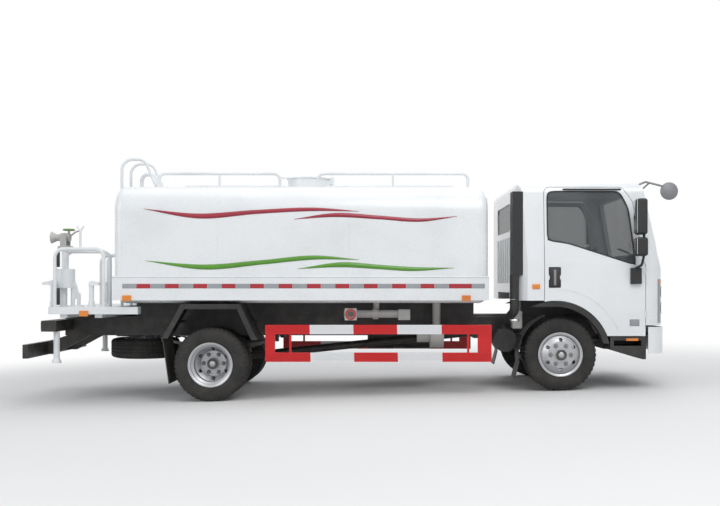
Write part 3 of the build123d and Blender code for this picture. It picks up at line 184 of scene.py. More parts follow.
# Finishes
finishes = {
    "tankWhite": {"tint": (0.83, 0.85, 0.86), "shade": (0.77, 0.79, 0.80), "rough": 0.28, "coat": 0.35,
                  "grain": 60.0, "bump": 0.02, "dust": 0.10},
    "cabWhite": {"tint": (0.84, 0.86, 0.87), "shade": (0.79, 0.81, 0.82), "rough": 0.22, "coat": 0.5,
                 "grain": 80.0, "bump": 0.015, "dust": 0.08},
    "fittingWhite": {"tint": (0.80, 0.82, 0.83), "shade": (0.70, 0.72, 0.73), "rough": 0.36, "coat": 0.2,
                     "grain": 45.0, "bump": 0.04, "dust": 0.12},
    "frameBlack": {"tint": (0.010, 0.010, 0.011), "shade": (0.022, 0.021, 0.020), "rough": 0.48, "coat": 0.0,
                   "grain": 30.0, "bump": 0.06, "dust": 0.25},
    "castDark": {"tint": (0.050, 0.050, 0.052), "shade": (0.085, 0.082, 0.078), "rough": 0.55, "coat": 0.0,
                 "grain": 90.0, "bump": 0.14, "dust": 0.30},
    "castGrey": {"tint": (0.50, 0.50, 0.48), "shade": (0.36, 0.36, 0.34), "rough": 0.45, "coat": 0.1,
                 "grain": 90.0, "bump": 0.12, "dust": 0.20},
    "springSteel": {"tint": (0.11, 0.11, 0.115), "shade": (0.07, 0.066, 0.060), "rough": 0.45, "coat": 0.0,
                    "grain": 35.0, "bump": 0.06, "dust": 0.30, "metal": 0.7},
    "rimSilver": {"tint": (0.50, 0.51, 0.53), "shade": (0.40, 0.41, 0.43), "rough": 0.34, "coat": 0.25,
                  "grain": 50.0, "bump": 0.03, "dust": 0.25, "metal": 0.55},
    "tyreRubber": {"tint": (0.012, 0.012, 0.012), "shade": (0.024, 0.023, 0.022), "rough": 0.78, "coat": 0.0,
                   "grain": 70.0, "bump": 0.10, "dust": 0.10},
    "darkPlastic": {"tint": (0.014, 0.015, 0.016), "shade": (0.024, 0.024, 0.025), "rough": 0.55, "coat": 0.0,
                    "grain": 220.0, "bump": 0.10, "dust": 0.12},
    "greyPlastic": {"tint": (0.16, 0.165, 0.17), "shade": (0.12, 0.123, 0.127), "rough": 0.6, "coat": 0.0,
                    "grain": 260.0, "bump": 0.12, "dust": 0.0},
    "mirrorGrey": {"tint": (0.27, 0.27, 0.28), "shade": (0.21, 0.21, 0.22), "rough": 0.5, "coat": 0.0,
                   "grain": 200.0, "bump": 0.06, "dust": 0.05},
    "bottlePlastic": {"tint": (0.80, 0.80, 0.77), "shade": (0.72, 0.71, 0.66), "rough": 0.45, "coat": 0.0,
                      "grain": 25.0, "bump": 0.03, "dust": 0.15},
    "amberLens": {"tint": (0.80, 0.24, 0.015), "shade": (0.62, 0.16, 0.01), "rough": 0.16, "coat": 0.4,
                  "grain": 300.0, "bump": 0.05, "dust": 0.05},
    "redLens": {"tint": (0.55, 0.015, 0.015), "shade": (0.40, 0.01, 0.01), "rough": 0.16, "coat": 0.4,
                "grain": 300.0, "bump": 0.05, "dust": 0.05},
    "chromeBright": {"tint": (0.75, 0.76, 0.78), "shade": (0.68, 0.69, 0.71), "rough": 0.10, "coat": 0.0,
                     "grain": 40.0, "bump": 0.01, "dust": 0.05, "metal": 1.0},
    "stripeRed": {"tint": (0.36, 0.016, 0.040), "shade": (0.31, 0.013, 0.034), "rough": 0.30, "coat": 0.35,
                  "grain": 60.0, "bump": 0.02, "dust": 0.05},
    "stripeGreen": {"tint": (0.090, 0.30, 0.012), "shade": (0.075, 0.26, 0.012), "rough": 0.30, "coat": 0.35,
                    "grain": 60.0, "bump": 0.02, "dust": 0.05},
    "handwheelGreen": {"tint": (0.16, 0.30, 0.08), "shade": (0.12, 0.24, 0.06), "rough": 0.35, "coat": 0.2,
                       "grain": 60.0, "bump": 0.03, "dust": 0.08},
    "outletRed": {"tint": (0.42, 0.06, 0.05), "shade": (0.33, 0.05, 0.045), "rough": 0.42, "coat": 0.1,
                  "grain": 80.0, "bump": 0.06, "dust": 0.15},
    "tapeGrey": {"tint": (0.34, 0.36, 0.38), "shade": (0.28, 0.30, 0.32), "rough": 0.25, "coat": 0.3,
                 "grain": 420.0, "bump": 0.06, "dust": 0.05},
    "tapeRed": {"tint": (0.42, 0.012, 0.025), "shade": (0.36, 0.010, 0.022), "rough": 0.25, "coat": 0.3,
                "grain": 420.0, "bump": 0.06, "dust": 0.05},
    "sealRubber": {"tint": (0.015, 0.015, 0.016), "shade": (0.022, 0.022, 0.022), "rough": 0.6, "coat": 0.0,
                   "grain": 120.0, "bump": 0.05, "dust": 0.05},
}
# Road dust, what all finishes share in grain and coat, and the sockets of a mix node that mixes colours
dust = {"tint": (0.36, 0.32, 0.26, 1), "heights": (1.3, 0.15), "patches": 7.0, "detail": 8.0,
        "range": (0.35, 0.75)}
surface = {"coatRough": 0.12, "broad": 2.3, "broadDetail": 6.0, "broadRange": (0.42, 0.72),
           "fineDetail": 3.0, "fineRange": (0.3, 0.7), "roughSpread": (-0.05, 0.07),
           "bumpGain": 4.0, "bumpDepth": 0.002}
mixSocket = {"first": 6, "second": 7, "result": 2}
materials = {}


def link(mat, source, out, target, inp):
    mat.node_tree.links.new(source.outputs[out], target.inputs[inp])


def addNode(mat, kind, **values):
    node = mat.node_tree.nodes.new(kind)
    for key, value in values.items():
        setattr(node, key, value)
    return node


def startMaterial(name, rough, coat=0.0, metal=0.0):
    mat = bpy.data.materials.new(name)
    mat.use_nodes = True
    shader = mat.node_tree.nodes["Principled BSDF"]
    shader.inputs["Roughness"].default_value = rough
    shader.inputs["Metallic"].default_value = metal
    shader.inputs["Coat Weight"].default_value = coat
    shader.inputs["Coat Roughness"].default_value = surface["coatRough"]
    place = addNode(mat, "ShaderNodeTexCoord")
    return mat, shader, place


def noiseFrom(mat, place, scale, detail):
    noise = addNode(mat, "ShaderNodeTexNoise")
    noise.inputs["Scale"].default_value = scale
    noise.inputs["Detail"].default_value = detail
    link(mat, place, "Object", noise, "Vector")
    return noise


def mixColours(mat, factor, first, second):
    # first and second are a colour or a (node, output) pair
    mix = addNode(mat, "ShaderNodeMix", data_type="RGBA")
    for socket, value in ((mixSocket["first"], first), (mixSocket["second"], second)):
        if isinstance(value[0], bpy.types.Node):
            mat.node_tree.links.new(value[0].outputs[value[1]], mix.inputs[socket])
        else:
            mix.inputs[socket].default_value = value
    mat.node_tree.links.new(factor, mix.inputs[0])
    return mix, mixSocket["result"]


def ramped(mat, socket, low, high, to0=0.0, to1=1.0):
    # a value carried from one range to another, held inside it
    step = addNode(mat, "ShaderNodeMapRange")
    step.inputs["From Min"].default_value = low
    step.inputs["From Max"].default_value = high
    step.inputs["To Min"].default_value = to0
    step.inputs["To Max"].default_value = to1
    mat.node_tree.links.new(socket, step.inputs["Value"])
    return step.outputs[0]


def dustOver(mat, place, colour, amount):
    # road dust: patches that thicken towards the ground
    split = addNode(mat, "ShaderNodeSeparateXYZ")
    link(mat, place, "Object", split, "Vector")
    patches = noiseFrom(mat, place, dust["patches"], dust["detail"])
    low = ramped(mat, split.outputs["Z"], *dust["heights"])
    patchy = ramped(mat, patches.outputs["Fac"], *dust["range"], 0.0, amount)
    thick = addNode(mat, "ShaderNodeMath", operation="MULTIPLY")
    mat.node_tree.links.new(low, thick.inputs[0])
    mat.node_tree.links.new(patchy, thick.inputs[1])
    return mixColours(mat, thick.outputs[0], colour, dust["tint"])


def colourTo(mat, shader, colour):
    mat.node_tree.links.new(colour[0].outputs[colour[1]], shader.inputs["Base Color"])


def bumpFrom(mat, shader, source, out, strength, depth):
    bump = addNode(mat, "ShaderNodeBump")
    bump.inputs["Strength"].default_value = strength
    bump.inputs["Distance"].default_value = depth
    link(mat, source, out, bump, "Height")
    link(mat, bump, "Normal", shader, "Normal")


def roughAndBump(mat, shader, place, look):
    # one fine grain drives both the spread of roughness and the bump
    fine = noiseFrom(mat, place, look["grain"], surface["fineDetail"])
    smoothest, roughest = [look["rough"] + step for step in surface["roughSpread"]]
    spread = ramped(mat, fine.outputs["Fac"], *surface["fineRange"], smoothest, roughest)
    mat.node_tree.links.new(spread, shader.inputs["Roughness"])
    bumpFrom(mat, shader, fine, "Fac", look["bump"] * surface["bumpGain"], surface["bumpDepth"])


def buildFinish(name, look):
    mat, shader, place = startMaterial(name, look["rough"], look["coat"], look.get("metal", 0.0))
    broad = noiseFrom(mat, place, surface["broad"], surface["broadDetail"])
    share = ramped(mat, broad.outputs["Fac"], *surface["broadRange"])
    colour = mixColours(mat, share, (*look["tint"], 1), (*look["shade"], 1))
    if look["dust"] > 0:
        colour = dustOver(mat, place, colour, look["dust"])
    colourTo(mat, shader, colour)
    roughAndBump(mat, shader, place, look)
    materials[name] = mat


for finishName, look in finishes.items():
    buildFinish(finishName, look)

# Guard paint: red and white bands along the rails, their edges given as drawn
guardPaint = {"red": (0.62, 0.0015, 0.004, 1), "white": (0.80, 0.81, 0.82, 1), "rough": 0.34, "coat": 0.1,
              "grain": 60.0, "bump": 0.03, "dust": 0.04, "edges": [1081.0, 1554.0, 2028.0, 2510.0],
              "h": 630.0}


def buildGuardPaint():
    # a band is white where a place is within half its length of its middle
    mat, shader, place = startMaterial("guardPaint", guardPaint["rough"], guardPaint["coat"])
    split = addNode(mat, "ShaderNodeSeparateXYZ")
    link(mat, place, "Object", split, "Vector")
    edges = spot(guardPaint["edges"], 0, guardPaint["h"])[:, 0]
    shown = addNode(mat, "ShaderNodeMath", operation="ADD")
    for half, (first, last) in enumerate(edges.reshape(2, 2)):
        centre = addNode(mat, "ShaderNodeMath", operation="COMPARE")
        mat.node_tree.links.new(split.outputs["X"], centre.inputs[0])
        centre.inputs[1].default_value = (first + last) / 2
        centre.inputs[2].default_value = (last - first) / 2
        mat.node_tree.links.new(centre.outputs[0], shown.inputs[half])
    colour = mixColours(mat, shown.outputs[0], guardPaint["red"], guardPaint["white"])
    colourTo(mat, shader, dustOver(mat, place, colour, guardPaint["dust"]))
    roughAndBump(mat, shader, place, guardPaint)
    materials["guardPaint"] = mat


buildGuardPaint()

# Glass: a thin tinted pane with a faint film of dust in its roughness
glassLook = {"clear": (0.060, 0.072, 0.076, 1), "film": (0.10, 0.115, 0.12, 1), "rough": 0.03, "alpha": 0.42,
             "filmScale": 6.0, "filmDetail": 5.0, "filmRange": (0.3, 0.8), "filmRough": (0.02, 0.10),
             "bend": 1.5}


def buildGlass():
    mat, shader, place = startMaterial("windowGlass", glassLook["rough"])
    film = noiseFrom(mat, place, glassLook["filmScale"], glassLook["filmDetail"])
    colourTo(mat, shader, mixColours(mat, film.outputs["Fac"], glassLook["clear"], glassLook["film"]))
    dull = ramped(mat, film.outputs["Fac"], *glassLook["filmRange"], *glassLook["filmRough"])
    mat.node_tree.links.new(dull, shader.inputs["Roughness"])
    shader.inputs["Alpha"].default_value = glassLook["alpha"]
    shader.inputs["IOR"].default_value = glassLook["bend"]
    materials["windowGlass"] = mat


buildGlass()

# Seat cloth: a woven rib from two crossed waves
seatCloth = {"thread": (0.055, 0.058, 0.066, 1), "gap": (0.030, 0.032, 0.037, 1), "ribs": 98.679,
             "waver": 0.6, "rough": 0.9, "sheen": 0.3, "bump": (0.35, 0.001)}


def buildSeatCloth():
    mat, shader, place = startMaterial("seatCloth", seatCloth["rough"])
    shader.inputs["Sheen Weight"].default_value = seatCloth["sheen"]
    warp = addNode(mat, "ShaderNodeTexWave", bands_direction="X")
    weft = addNode(mat, "ShaderNodeTexWave", bands_direction="Z")
    for wave in (warp, weft):
        wave.inputs["Scale"].default_value = seatCloth["ribs"]
        wave.inputs["Distortion"].default_value = seatCloth["waver"]
        link(mat, place, "Object", wave, "Vector")
    weave = addNode(mat, "ShaderNodeMath", operation="MULTIPLY")
    link(mat, warp, "Fac", weave, 0)
    link(mat, weft, "Fac", weave, 1)
    colourTo(mat, shader, mixColours(mat, weave.outputs[0], seatCloth["gap"], seatCloth["thread"]))
    bumpFrom(mat, shader, weave, "Value", *seatCloth["bump"])
    materials["seatCloth"] = mat


buildSeatCloth()

# Lamp glass: a clear cover over fluted bars, with a painted highlight on each flute and painted shade in the
# grooves between them
lampLook = {"bright": (0.36, 0.38, 0.40, 1), "groove": (0.10, 0.105, 0.115, 1), "flutes": 22.0,
            "rough": 0.08, "coat": 0.6, "metal": 0.25, "bump": (0.25, 0.003)}


def buildLampGlass():
    mat, shader, place = startMaterial("lampGlass", lampLook["rough"], lampLook["coat"], lampLook["metal"])
    flutes = addNode(mat, "ShaderNodeTexWave", bands_direction="Y")
    flutes.inputs["Scale"].default_value = lampLook["flutes"]
    link(mat, place, "Object", flutes, "Vector")
    # the base colour swings with each flute between the painted groove shade and the painted highlight
    colourTo(mat, shader, mixColours(mat, flutes.outputs["Fac"], lampLook["groove"], lampLook["bright"]))
    bumpFrom(mat, shader, flutes, "Fac", *lampLook["bump"])
    materials["lampGlass"] = mat


buildLampGlass()

# Which finish each CAD node wears
nodeFinish = {
    "tankWhite": "tank_shell tank_skirts manhole_lid",
    "fittingWhite": "tank_rails platform cannon_pedestal water_nozzles",
    "cabWhite": "cab_shell front_panel door_left door_right bumper",
    "mirrorGrey": "front_mirror",
    "frameBlack": "chassis_frame rear_beams rear_fenders front_axle knuckle_left knuckle_right tie_rod "
                  "rear_axle drive_shaft fuel_tank",
    "guardPaint": "side_guards",
    "rimSilver": "front_rim_left front_rim_right rear_rims_left rear_rims_right spare_rim",
    "springSteel": "leaf_springs",
    "castDark": "engine_block",
    "castGrey": "water_pump cannon_swivel cannon_barrel",
    "tyreRubber": "front_tyre_left front_tyre_right rear_tyres_left rear_tyres_right spare_tyre",
    "windowGlass": "cab_glass door_glass_left door_glass_right",
    "darkPlastic": "mirrors_left mirrors_right snorkel arch_flares front_mudguards air_cleaner grille "
                   "front_steps",
    "greyPlastic": "dashboard",
    "bottlePlastic": "coolant_bottle",
    "lampGlass": "headlamps",
    "amberLens": "chassis_lamps",
    "seatCloth": "seats",
}
for finishName, names in nodeFinish.items():
    for nodeName in names.split():
        nodes[nodeName].data.materials.clear()
        nodes[nodeName].data.materials.append(materials[finishName])
print("finishes", len(materials))


# Making surfaces: every piece is a set of rings carried along, as one array of rings by points by xyz
def carried(rings, loop=False):
    # neighbouring rings are joined by quads, and the ends close with one face unless the rings loop;
    # the signed volume, a sum of triple products, tells whether the faces have to be turned outwards
    count, around = rings.shape[:2]
    index = np.arange(count * around).reshape(count, around)
    first = index if loop else index[:-1]
    second = np.roll(index, -1, axis=0) if loop else index[1:]
    quads = np.stack([first, np.roll(first, -1, 1), np.roll(second, -1, 1), second], -1).reshape(-1, 4)
    points = rings.reshape(-1, 3)
    corner = points[quads] - points.mean(axis=0)
    volume = np.einsum("ij,ij->i", corner[:, 0], np.cross(corner[:, 1], corner[:, 2])).sum()
    volume += np.einsum("ij,ij->i", corner[:, 0], np.cross(corner[:, 2], corner[:, 3])).sum()
    ends = [] if loop else [index[0][::-1], index[-1]]
    if volume <= 0:
        quads, ends = quads[:, ::-1], [end[::-1] for end in ends]
    return points, quads, ends


def putPiece(name, parts, finish, body, smooth=True):
    # the parts share one mesh, so the corner numbers of each start where the part before it stopped
    points, faces = np.zeros((0, 3)), []
    for partPoints, quads, ends in parts:
        faces += (quads + len(points)).tolist() + [(end + len(points)).tolist() for end in ends]
        points = np.concatenate([points, partPoints])
    mesh = bpy.data.meshes.new(name)
    mesh.from_pydata(points.tolist(), [], faces)
    mesh.materials.append(materials[finish])
    mesh.polygons.foreach_set("use_smooth", np.full(len(faces), smooth))
    piece = bpy.data.objects.new(name, mesh)
    bpy.context.scene.collection.objects.link(piece)
    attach(piece, body)
    return piece


def smoothThrough(at, knots, values):
    # cubic Hermite through the values, with the slope at a knot taken from its two neighbours
    knots, values = np.asarray(knots, float), np.asarray(values, float)
    slopes = np.gradient(values, knots)
    cell = np.clip(np.searchsorted(knots, at) - 1, 0, len(knots) - 2)
    width = knots[cell + 1] - knots[cell]
    t = (at - knots[cell]) / width
    return ((2 * t**3 - 3 * t**2 + 1) * values[cell] + (t**3 - 2 * t**2 + t) * width * slopes[cell]
            + (3 * t**2 - 2 * t**3) * values[cell + 1] + (t**3 - t**2) * width * slopes[cell + 1])


blockForm = {"around": 24, "ease": (0.0, 0.3, 1.0)}


def block(u, y, h, edge, along="u"):
    # a box with eased edges: a rounded rectangle carried along one axis and drawn in at both ends
    spans = {"u": u, "y": y, "h": h}
    cross = [axis for axis in "uyh" if axis != along]
    turn = np.linspace(0, 2 * np.pi, blockForm["around"], endpoint=False) + np.pi / blockForm["around"]
    ends = edge * np.array(blockForm["ease"])
    low, high = min(spans[along]), max(spans[along])
    place = np.concatenate([low + ends, high - ends[::-1]])
    shrink = np.concatenate([ends[::-1], ends])
    ring = {}
    for axis, wave in zip(cross, (np.cos(turn), np.sin(turn))):
        a, b = sorted(spans[axis])
        reach = (b - a) / 2 - edge
        ring[axis] = (a + b) / 2 + np.sign(wave) * reach + wave * (edge - shrink[:, None])
    ring[along] = place[:, None]
    return carried(spot(ring["u"], ring["y"], ring["h"]))


def onSide(side, across):
    # a span across the truck, turned to its own side
    return tuple(side * y for y in across)


def tubeAlong(path, radius, loop=False, sides=12):
    # a circle carried along a path, square to the run between a point's neighbours; its own axes are
    # found by cross products with y, or with u where the run is nearly along y
    path = np.asarray(path, float)
    run = np.roll(path, -1, 0) - np.roll(path, 1, 0)
    if not loop:
        run[0], run[-1] = path[1] - path[0], path[-1] - path[-2]
    run /= np.linalg.norm(run, axis=1, keepdims=True)
    spare = np.where(np.abs(run[:, [1]]) < 0.9, [[0.0, 1.0, 0.0]], [[1.0, 0.0, 0.0]])
    side = np.cross(run, spare)
    side /= np.linalg.norm(side, axis=1, keepdims=True)
    other = np.cross(run, side)
    turn = np.linspace(0, 2 * np.pi, sides, endpoint=False)[:, None]
    rings = path[:, None] + radius * (side[:, None] * np.cos(turn) + other[:, None] * np.sin(turn))
    return carried(spot(rings[..., 0], rings[..., 1], rings[..., 2]), loop)


def spun(centre, axis, profile, turns=48):
    # a closed profile of (along, radius) carried round an axis through the centre
    turn = np.linspace(0, 2 * np.pi, turns, endpoint=False)[:, None]
    along, radius = np.asarray(profile, float).T
    flat = [np.cos(turn) * radius, np.sin(turn) * radius]
    shift = {"u": (along, *flat), "y": (flat[0], along, flat[1]), "h": (*flat, along)}[axis]
    return carried(spot(*[c + s for c, s in zip(centre, shift)]), loop=True)


def rounded(path, steps, passes):
    # a closed outline with its corners eased: points spread evenly, then averaged with their neighbours
    path = np.asarray(path, float)
    runs = np.linalg.norm(np.roll(path, -1, 0) - path, axis=1)
    ends = np.concatenate([[0], np.cumsum(runs)])
    at = np.linspace(0, ends[-1], steps * len(path), endpoint=False)
    closed = np.vstack([path, path[:1]])
    line = np.stack([np.interp(at, ends, closed[:, k]) for k in range(path.shape[1])], -1)
    for step in range(passes):
        line = (np.roll(line, 1, 0) + 2 * line + np.roll(line, -1, 0)) / 4
    return line


# The two sides of the truck, with the sign of the places there
hands = (("right", -1), ("left", 1))

# Tank stripes: each row is the places along the tank, the heights there and the widths there
tankSide = {"half": 1080.0, "shoulder": 300.0, "shoulderHeight": 2055.2}
stripeForm = {"steps": 90, "least": 2.0, "lift": (-0.5, 3.0, 3.0, -0.5)}
stripes = {
    "stripeRed": [
        ([-719, -130, 500, 1157, 1611], [2088, 2011, 2055, 2083, 2061], [3, 53, 44, 36, 3]),
        ([908, 1340, 1830, 2281, 2675], [1976, 2021, 1995, 1967, 2007], [3, 43, 40, 36, 3]),
    ],
    "stripeGreen": [
        ([-703, -54, 560, 1157, 1611], [1527, 1459, 1510, 1562, 1539], [3, 54, 48, 43, 3]),
        ([947, 1438, 1800, 2184, 2638], [1440, 1484, 1462, 1438, 1449], [3, 54, 48, 44, 3]),
    ],
}


def stripe(knots, heights, widths, side):
    # a band lying on the tank's side, as wide as its own curve says, and raised by the film's thickness
    u = np.linspace(knots[0], knots[-1], stripeForm["steps"])
    middle = smoothThrough(u, knots, heights)
    half = np.maximum(smoothThrough(u, knots, widths), stripeForm["least"]) / 2
    h = np.stack([middle - half, middle - half, middle + half, middle + half], -1)
    over = np.clip(h - tankSide["shoulderHeight"], 0, None)
    skin = tankSide["half"] - tankSide["shoulder"] + np.sqrt(tankSide["shoulder"] ** 2 - over**2)
    return carried(spot(u[:, None], side * (skin + stripeForm["lift"]), h))


for finishName, rows in stripes.items():
    parts = [stripe(*row, side) for row in rows for hand, side in hands]
    putPiece("tank_" + finishName, parts, finishName, "chassis")

# Reflective tape along the skirts: grey and red lengths in turn
tape = {"start": -944.0, "step": 153.2, "count": 23, "last": [2830.0, 2970.0], "h": (1228.0, 1278.0),
        "across": (1103.0, 1105.6), "gap": 1.0, "edge": 0.8}
tapeEdges = [tape["start"] + tape["step"] * k for k in range(tape["count"] + 1)] + tape["last"]
for first, finishName in ((0, "tapeGrey"), (1, "tapeRed")):
    parts = []
    for start, end in list(zip(tapeEdges, tapeEdges[1:]))[first::2]:
        along = (start + tape["gap"], end - tape["gap"])
        parts += [block(along, onSide(side, tape["across"]), tape["h"], tape["edge"]) for hand, side in hands]
    putPiece("skirt_" + finishName, parts, finishName, "chassis")

# Weld beads round the tank where its heads and sheets meet
weld = {"at": [-955.0, 80.0, 1500.0, 2919.0], "bead": 2.4, "belly": 220.0, "bottom": 1066.0,
        "crown": 28.0, "top": 2370.0, "bendSteps": 12, "topSteps": 8, "sides": 8}


def tankRing(u):
    # the tank's section: flat sides, rounded belly and shoulders, and a top that rises to the middle
    turn = np.linspace(0, np.pi / 2, weld["bendSteps"])
    half, low, shoulder = tankSide["half"], weld["belly"], tankSide["shoulder"]
    inwards = np.linspace(half - shoulder, 0, weld["topSteps"])[1:]
    y = np.concatenate([half - low + low * np.sin(turn), half - shoulder + shoulder * np.cos(turn), inwards])
    h = np.concatenate([weld["bottom"] + low - low * np.cos(turn),
                        tankSide["shoulderHeight"] + shoulder * np.sin(turn),
                        weld["top"] - weld["crown"] * (inwards / half) ** 2])
    y, h = np.concatenate([y, -y[-2::-1]]), np.concatenate([h, h[-2::-1]])
    return np.stack([np.full_like(y, u), y, h], -1)


parts = [tubeAlong(tankRing(u), weld["bead"], True, weld["sides"]) for u in weld["at"]]
putPiece("tank_welds", parts, "tankWhite", "chassis")
print("tank markings")

# Tyres: the moulded wall as (offset, radius) from bead to shoulder, with fine rings on it, zigzag grooves
# round the tread and notches between the shoulder blocks
tyre = {"turns": 360, "pitch": 45, "wallSteps": 26, "crownSteps": 46, "insideSteps": 6,
        "wall": [(84, 226), (101, 243), (113, 272), (117.4, 305), (114.5, 342), (106, 374), (95, 388.5),
                 (78, 398.4)],
        "ringSize": 1.1, "ringStep": 4.4, "ringSpan": (285, 350),
        "groove": 9.0, "grooveAt": [-39.0, 0.0, 39.0], "grooveHalf": 5.0, "zigzag": 4.0,
        "notchShare": 0.32, "notchDepth": 0.8, "notchFrom": 57, "notchShift": 0.25, "treadFrom": 366}


def treadRings():
    # radius and offset of every point of the tread and walls over the turn and the width; the grooves
    # are notches whose place swings with the turn, and the shoulders are notched once in each pitch
    wall = np.array(tyre["wall"], float)
    step = np.linspace(0, len(wall) - 1, tyre["wallSteps"])
    across = smoothThrough(step, np.arange(len(wall)), wall[:, 0])
    rise = smoothThrough(step, np.arange(len(wall)), wall[:, 1])
    ringed = (rise > tyre["ringSpan"][0]) & (rise < tyre["ringSpan"][1])
    across += tyre["ringSize"] * np.sin(rise / tyre["ringStep"]) * ringed
    crown = np.linspace(wall[-1, 0], -wall[-1, 0], tyre["crownSteps"])[1:-1]
    inside = np.linspace(-wall[0, 0], wall[0, 0], tyre["insideSteps"])[1:-1]
    offset = np.concatenate([across, crown, -across[::-1], inside])
    radius = np.concatenate([rise, np.full(len(crown), truck["wheelRadius"]), rise[::-1],
                             np.full(len(inside), wall[0, 1])])
    turn = np.linspace(0, 2 * np.pi, tyre["turns"], endpoint=False)
    beat = turn * tyre["pitch"] / (2 * np.pi)
    swing = tyre["zigzag"] * (4 * np.abs(beat - np.floor(beat + 0.5)) - 1)
    depth = np.zeros((len(turn), len(offset)))
    for middle in tyre["grooveAt"]:
        depth = np.maximum(depth, np.abs(offset[None] - middle - swing[:, None]) < tyre["grooveHalf"])
    notch = np.mod(beat[:, None] + tyre["notchShift"] * np.sign(offset)[None], 1) < tyre["notchShare"]
    notch &= np.abs(offset)[None] > tyre["notchFrom"]
    depth = np.maximum(depth, notch * tyre["notchDepth"]) * (radius[None] > tyre["treadFrom"])
    return np.broadcast_to(offset, depth.shape), radius[None] - tyre["groove"] * depth, turn[:, None]


def tyreAt(centre, axis="y"):
    # the rings of the tread carried round the wheel's axis
    offset, radius, turn = treadRings()
    first, second = radius * np.cos(turn), radius * np.sin(turn)
    shift = (first, offset, second) if axis == "y" else (first, second, offset)
    return carried(spot(*[c + s for c, s in zip(centre, shift)]), loop=True)


rearHeight = truck["wheelRadius"]
wheelAt = {"front": 850.0, "rear": (960.0, 690.0), "spare": (-955.0, 0.0, 522.5)}
tyreRows = []
for hand, side in hands:
    single = [tyreAt((frontU, side * wheelAt["front"], frontHeight))]
    twins = [tyreAt((0.0, side * y, rearHeight)) for y in wheelAt["rear"]]
    tyreRows.append(("front_tyre_" + hand, "front_wheel_" + hand, single))
    tyreRows.append(("rear_tyres_" + hand, "rear_wheels_" + hand, twins))
tyreRows.append(("spare_tyre", "chassis", [tyreAt(wheelAt["spare"], "h")]))
for nodeName, body, parts in tyreRows:
    rubber = putPiece("treaded_" + nodeName, parts, "tyreRubber", body)
    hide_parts(nodeName)
print("tyres", len(tyreRows))

# Wheel nuts: six on a circle, with a washer under each and the stud's end standing out
nuts = {"count": 6, "circle": 111.0, "across": 16.0, "washer": 24.0, "stud": 9.0, "crown": 0.8, "around": 24,
        "steps": [-1.0, 4.0, 4.0, 20.0, 24.0, 24.0, 32.0], "front": 985.0, "rear": 837.0}


def nutParts(u, side, face, h):
    # a hexagon carried outwards over a round washer, drawn in at its crown
    angle = 2 * np.pi * np.arange(nuts["count"]) / nuts["count"]
    turn = np.linspace(0, 2 * np.pi, nuts["around"], endpoint=False)
    hexagon = nuts["across"] / np.cos(np.mod(turn, np.pi / 3) - np.pi / 6)
    washer = np.full_like(turn, nuts["washer"])
    stud = np.full_like(turn, nuts["stud"])
    rings = np.stack([washer, washer, hexagon, hexagon, hexagon * nuts["crown"], stud, stud])
    along = np.array(nuts["steps"])[:, None]
    parts = []
    for one in angle:
        x = u + nuts["circle"] * math.cos(one) + rings * np.cos(turn)
        z = h + nuts["circle"] * math.sin(one) + rings * np.sin(turn)
        parts.append(carried(spot(x, side * (face + along), z)))
    return parts


# Hubs: a dark ring with a bright domed cap in it
hub = {"ring": [(-3.0, 34.0), (-3.0, 58.0), (5.0, 58.0), (9.0, 54.0), (9.0, 38.0), (5.0, 34.0)],
       "capRadius": 34.0, "capTall": 12.0, "capSink": -4.0, "capSteps": 9, "around": 40,
       "front": 1015.0, "rear": 925.0}


def hubParts(u, side, face, h):
    # the ring is a profile carried round, and the cap a quarter ellipse carried round
    ring = spun((u, side * face, h), "y", [(side * along, radius) for along, radius in hub["ring"]])
    turn = np.linspace(0, 2 * np.pi, hub["around"], endpoint=False)
    rise = np.linspace(0, np.pi / 2, hub["capSteps"])[:-1, None]
    reach = np.vstack([[[hub["capRadius"]]], hub["capRadius"] * np.cos(rise)])
    along = np.vstack([[[hub["capSink"]]], hub["capTall"] * np.sin(rise)])
    cap = carried(spot(u + reach * np.cos(turn), side * (face + along), h + reach * np.sin(turn)))
    return ring, cap


for hand, side in hands:
    for name, body, u, h in (("front", "front_wheel_" + hand, frontU, frontHeight),
                             ("rear", "rear_wheels_" + hand, 0.0, rearHeight)):
        nutSet = nutParts(u, side, nuts[name], h)
        putPiece(name + "_nuts_" + hand, nutSet, "mirrorGrey", body, False)
        ring, cap = hubParts(u, side, hub[name], h)
        putPiece(name + "_hub_ring_" + hand, [ring], "castDark", body)
        putPiece(name + "_hub_cap_" + hand, [cap], "rimSilver", body)

# Door trim: window seals, rain visors, handle dishes and grips, and blank badges
cabSide = {"half": 1000.0, "waist": 1500.0, "roof": 2405.0, "lean": 62.0}
window = [(3668, 1752), (3668, 2290), (4462, 2290), (4556, 2100), (4628, 1482), (3890, 1722)]
seal = {"radius": 8.0, "sink": 1.0, "steps": 30, "passes": 12}
visor = {"u": (3840, 4480), "h": (2304, 2322), "off": 2.0, "bow": 24.0, "ease": 60.0, "least": 0.05,
         "thick": 3.0, "arcFrom": 0.15, "arcSpan": 0.8, "arcWhole": 1.2, "steps": (40, 9)}
# piece, finish, slot, span along, span across, span of heights, eased edge and the way it is carried
doorBlocks = [
    ("door_dish_", "darkPlastic", "black_plastic", (3681, 3809), (976, 1001), (1235, 1458), 14, "y"),
    ("door_grip_", "mirrorGrey", "grey_plastic", (3733, 3761), (990, 1008), (1262, 1432), 6, "h"),
    ("door_badge_", "mirrorGrey", "steel", (4560, 4665), (999, 1003), (818, 890), 1.5, "y"),
    ("badge_field_", "tapeGrey", "steel", (4568, 4657), (1000, 1004.5), (826, 882), 1.5, "y"),
]


def skinAt(h):
    # the door's skin is upright to the waist and leans in above it
    over = np.clip(np.asarray(h, float) - cabSide["waist"], 0, None) / (cabSide["roof"] - cabSide["waist"])
    return cabSide["half"] - cabSide["lean"] * over


